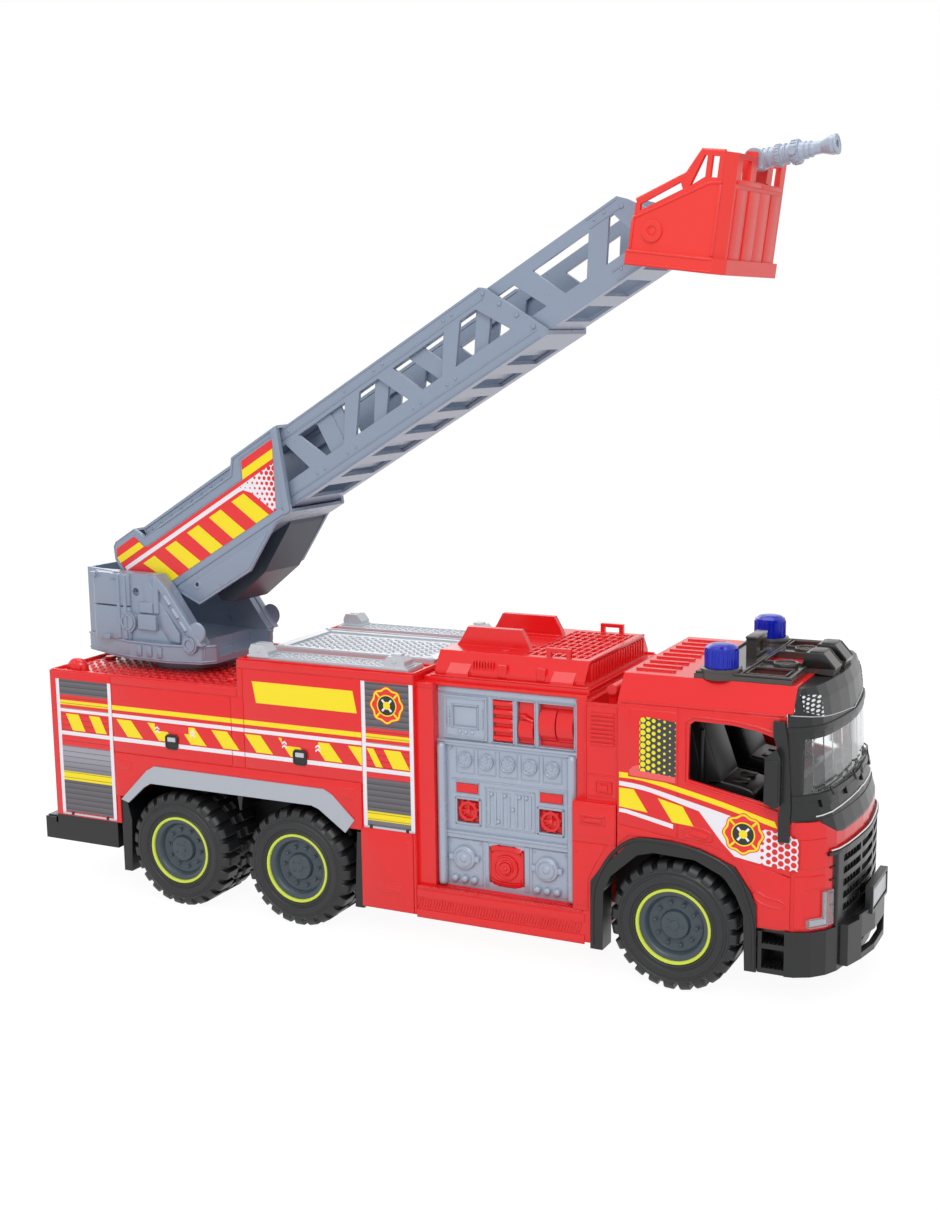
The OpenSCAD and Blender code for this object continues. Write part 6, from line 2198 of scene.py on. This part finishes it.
@dataclass
class Basket:
    """The rims and tread of the rescue basket, and the rings and grips of the water nozzle.

    Attributes:
        side: The basket's side face, from its middle.
    """

    side: float = 48.0

    def rims(self) -> int:
        """Makes the basket's rims, bosses, slats and tread."""
        y, parts = self.side, []
        for z in (-20.4, -13.4):
            parts.append(block("line", (-14, y + 1.5, z), (40.6, y + 2.7, z + 1.2), 0.4))
        parts += [
            tube("rim", [(-13.4, y, 6.6), (32.6, y, 30.4), (40.2, y, 31.0)], 1.0),
            block("edge", (-14.2, y - 0.2, -11), (-12.4, y + 0.9, 6), 0.5),
            block("edge", (38.2, y - 0.2, -11), (40.2, y + 0.9, 30), 0.5),
            turned("boss", [(3.0, 0), (6.6, 0), (6.4, 1.0), (3.2, 1.0)], (0, y + 0.6, 0), "Y", 32, True),
            rod("screw", (0, y + 0.4, 0), (0, y + 1.2, 0), 2.2, 20, 0.4),
            tube(
                "rail",
                [(-12.6, y - 1.5, 16.6), (17.6, y - 1.5, 34), (25.4, y - 1.5, 47.8), (39.2, y - 1.5, 47.8)],
                1.9,
            ),
            plate("panel", oblong(0, -14, 17, 28.6), 44.8, 45.9, View.FRONT, 0.5),
            plate("panel", oblong(20, -14, 36.4, 28.6), 44.8, 45.6, View.FRONT, 0.5),
            block("slat", (44.7, 0, 31.0), (46.2, 37, 33.4), 0.5),
            block("slat", (44.7, 0, -19.4), (46.6, 40, -17), 0.5),
        ]
        made = paired("basket_rims", parts, Paint.CORAL, "rescue_basket", BASKET_PLACE)
        tread = lozenges("tread", (12, -36, -18.6), (4, 10), (8, 8), (3.0, 1.0, 0.6))
        return made + single("basket_tread", [tread], Paint.CORAL, "rescue_basket", BASKET_PLACE)

    def nozzle(self) -> int:
        """Makes the nozzle's rings, grips and lip."""
        parts = []
        for x, r in ((4.5, 6.1), (8.0, 6.1), (18.4, 6.4), (30.5, 5.2), (33.6, 4.8)):
            parts.append(turned(
                "ring", [(r - 1.4, -0.7), (r, -0.5), (r, 0.5), (r - 1.4, 0.7)], (x, 0, 0), "X", 32, True,
            ))
        grip = block("grip", (22.6, -0.55, 6.8), (26.4, 0.55, 7.5), 0.25)
        parts.append(around(grip, 16, (0, 0, 0), (1, 0, 0)))
        groove = block("grip", (12.4, -0.5, 6.3), (15.1, 0.5, 6.9), 0.2, 1)
        parts += [
            around(groove, 20, (0, 0, 0), (1, 0, 0)),
            turned(
                "lip", [(4.4, 0), (5.9, 0), (6.1, 0.8), (5.9, 1.5), (4.4, 1.5)], (48.2, 0, 0), "X", 36,
                True,
            ),
        ]
        return single("nozzle_rings", parts, Paint.SILVER, "water_nozzle", NOZZLE_PLACE)

    def build(self) -> int:
        """Makes everything on the basket and the nozzle."""
        return self.rims() + self.nozzle()


ASSEMBLIES: tuple[type, ...] = (
    Wheels, BodySides, Roof, PumpModule, CabSides, Nose, CabTop, Ladder, Turret, Basket,
)


@dataclass
class Studio:
    """The floor, the backdrop, the lamps and the camera.

    Attributes:
        glow: How bright the floor looks to the camera.
        whiteness: How much of the floor's look is that glow, and not its shaded surface.
        air: How strongly the white air lights the object.
        lamps: Each lamp's name, place and aim in metres, size and power.
        turn: How far the camera stands round to the right of the truck's front, in degrees.
        rise: How far it looks down, in degrees.
        roll: How far it leans, in degrees.
        stand: Its place in metres.
        lens: Its focal length in millimetres, on a sensor 36 mm wide.
    """

    glow: float = 1.085
    whiteness: float = 0.87
    air: float = 0.46
    lamps: tuple[tuple[str, Point3, Point3, float, float], ...] = (
        ("key_lamp", (0.9, -2.2, 2.1), (0, 0, 0.2), 1.5, 38),
        ("top_lamp", (-0.4, 0.2, 2.6), (0, 0, 0.1), 2.0, 26),
        ("left_lamp", (-1.8, 2.0, 1.6), (0, 0, 0.2), 1.8, 18),
    )
    turn: float = 26.17
    rise: float = 9.75
    roll: float = -0.79
    stand: Point3 = (0.514, -1.006, 0.418)
    lens: float = 47.67

    def seen(self, wire: Wiring) -> Socket:
        """A mask that is 1 for rays from the camera, through clear plastic, or off a shiny surface."""
        path = wire.add("LightPath")
        direct = wire.math("MAXIMUM", path.outputs["Is Camera Ray"], path.outputs["Is Transmission Ray"])
        return wire.math("MAXIMUM", direct, path.outputs["Is Glossy Ray"])

    def floor(self) -> None:
        """Lays a wide pale floor that shows only a faint shadow."""
        bpy.ops.mesh.primitive_plane_add(size=1)
        floor = named("studio_floor")
        floor.scale = (16, 16, 1)
        bpy.ops.object.transform_apply(scale=True)
        choose_faces(floor, lambda c, n: True)
        bpy.ops.mesh.subdivide(number_cuts=3)
        leave_edit()
        material = bpy.data.materials.new("Studio floor")
        material.use_nodes = True
        tree = material.node_tree
        wire = Wiring(tree)
        diffuse = tree.nodes["Principled BSDF"]
        diffuse.inputs["Base Color"].default_value = (0.86, 0.86, 0.86, 1)
        diffuse.inputs["Roughness"].default_value = 0.9
        diffuse.inputs["Specular IOR Level"].default_value = 0.1
        glow = wire.add("Emission", None, Color=(1, 1, 1, 1), Strength=self.glow)
        blend = wire.add("MixShader", None, Fac=wire.math("MULTIPLY", self.seen(wire), self.whiteness))
        wire.feed(blend.inputs[1], diffuse.outputs[0])
        wire.feed(blend.inputs[2], glow.outputs[0])
        wire.feed(tree.nodes["Material Output"].inputs["Surface"], blend.outputs[0])
        floor.data.materials.append(material)

    def world(self) -> None:
        """Makes the air white to the camera and a soft even light to the object."""
        world = bpy.data.worlds.new("Studio air")
        bpy.context.scene.world = world
        world.use_nodes = True
        wire = Wiring(world.node_tree)
        background = world.node_tree.nodes["Background"]
        background.inputs["Color"].default_value = (1, 1, 1, 1)
        wire.feed(background.inputs["Strength"], wire.ramp(self.seen(wire), 0.0, 1.0, self.air))

    def lamp(self, name: str, place: Point3, aim: Point3, size: float, power: float) -> None:
        """Hangs a square soft lamp at place, in metres, turned to aim."""
        bpy.ops.object.light_add(type="AREA", location=place)
        lamp = named(name)
        lamp.data.shape = "SQUARE"
        lamp.data.size = size
        lamp.data.energy = power
        lamp.rotation_euler = (Vector(aim) - Vector(place)).to_track_quat("-Z", "Y").to_euler()

    def camera(self) -> None:
        """Sets the camera at the front right corner, a little above the truck."""
        turn, rise, roll = (math.radians(angle) for angle in (self.turn, self.rise, self.roll))
        back = Vector((math.sin(turn) * math.cos(rise), -math.cos(turn) * math.cos(rise), math.sin(rise)))
        level = (-back).cross(Vector((0, 0, 1))).normalized()
        upright = level.cross(-back)
        right = level * math.cos(roll) + upright * math.sin(roll)
        up = upright * math.cos(roll) - level * math.sin(roll)
        bpy.ops.object.camera_add()
        camera = named("studio_camera")
        axes = Matrix((right, up, back)).transposed().to_4x4()
        camera.matrix_world = Matrix.Translation(self.stand) @ axes
        camera.data.lens = self.lens
        camera.data.sensor_width = 36.0
        camera.data.clip_start = 0.01
        bpy.context.scene.camera = camera

    def build(self) -> None:
        """Sets up the whole studio."""
        bpy.ops.object.select_all(action="DESELECT")
        self.floor()
        self.world()
        for lamp in self.lamps:
            self.lamp(*lamp)
        self.camera()
        bpy.context.scene.view_settings.view_transform = "Standard"


def main() -> None:
    """Loads the frame, dresses it, adds the small parts, and sets up the studio."""
    logging.basicConfig(level=logging.INFO, format="%(name)s: %(message)s")
    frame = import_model()
    bpy.ops.object.select_all(action="DESELECT")
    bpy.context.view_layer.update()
    dress_frame(frame["nodes"])
    for assembly in ASSEMBLIES:
        made = assembly().build()
        log.info("%s: %d pieces", assembly.__name__, made)
    Studio().build()


if __name__ == "__main__":
    main()
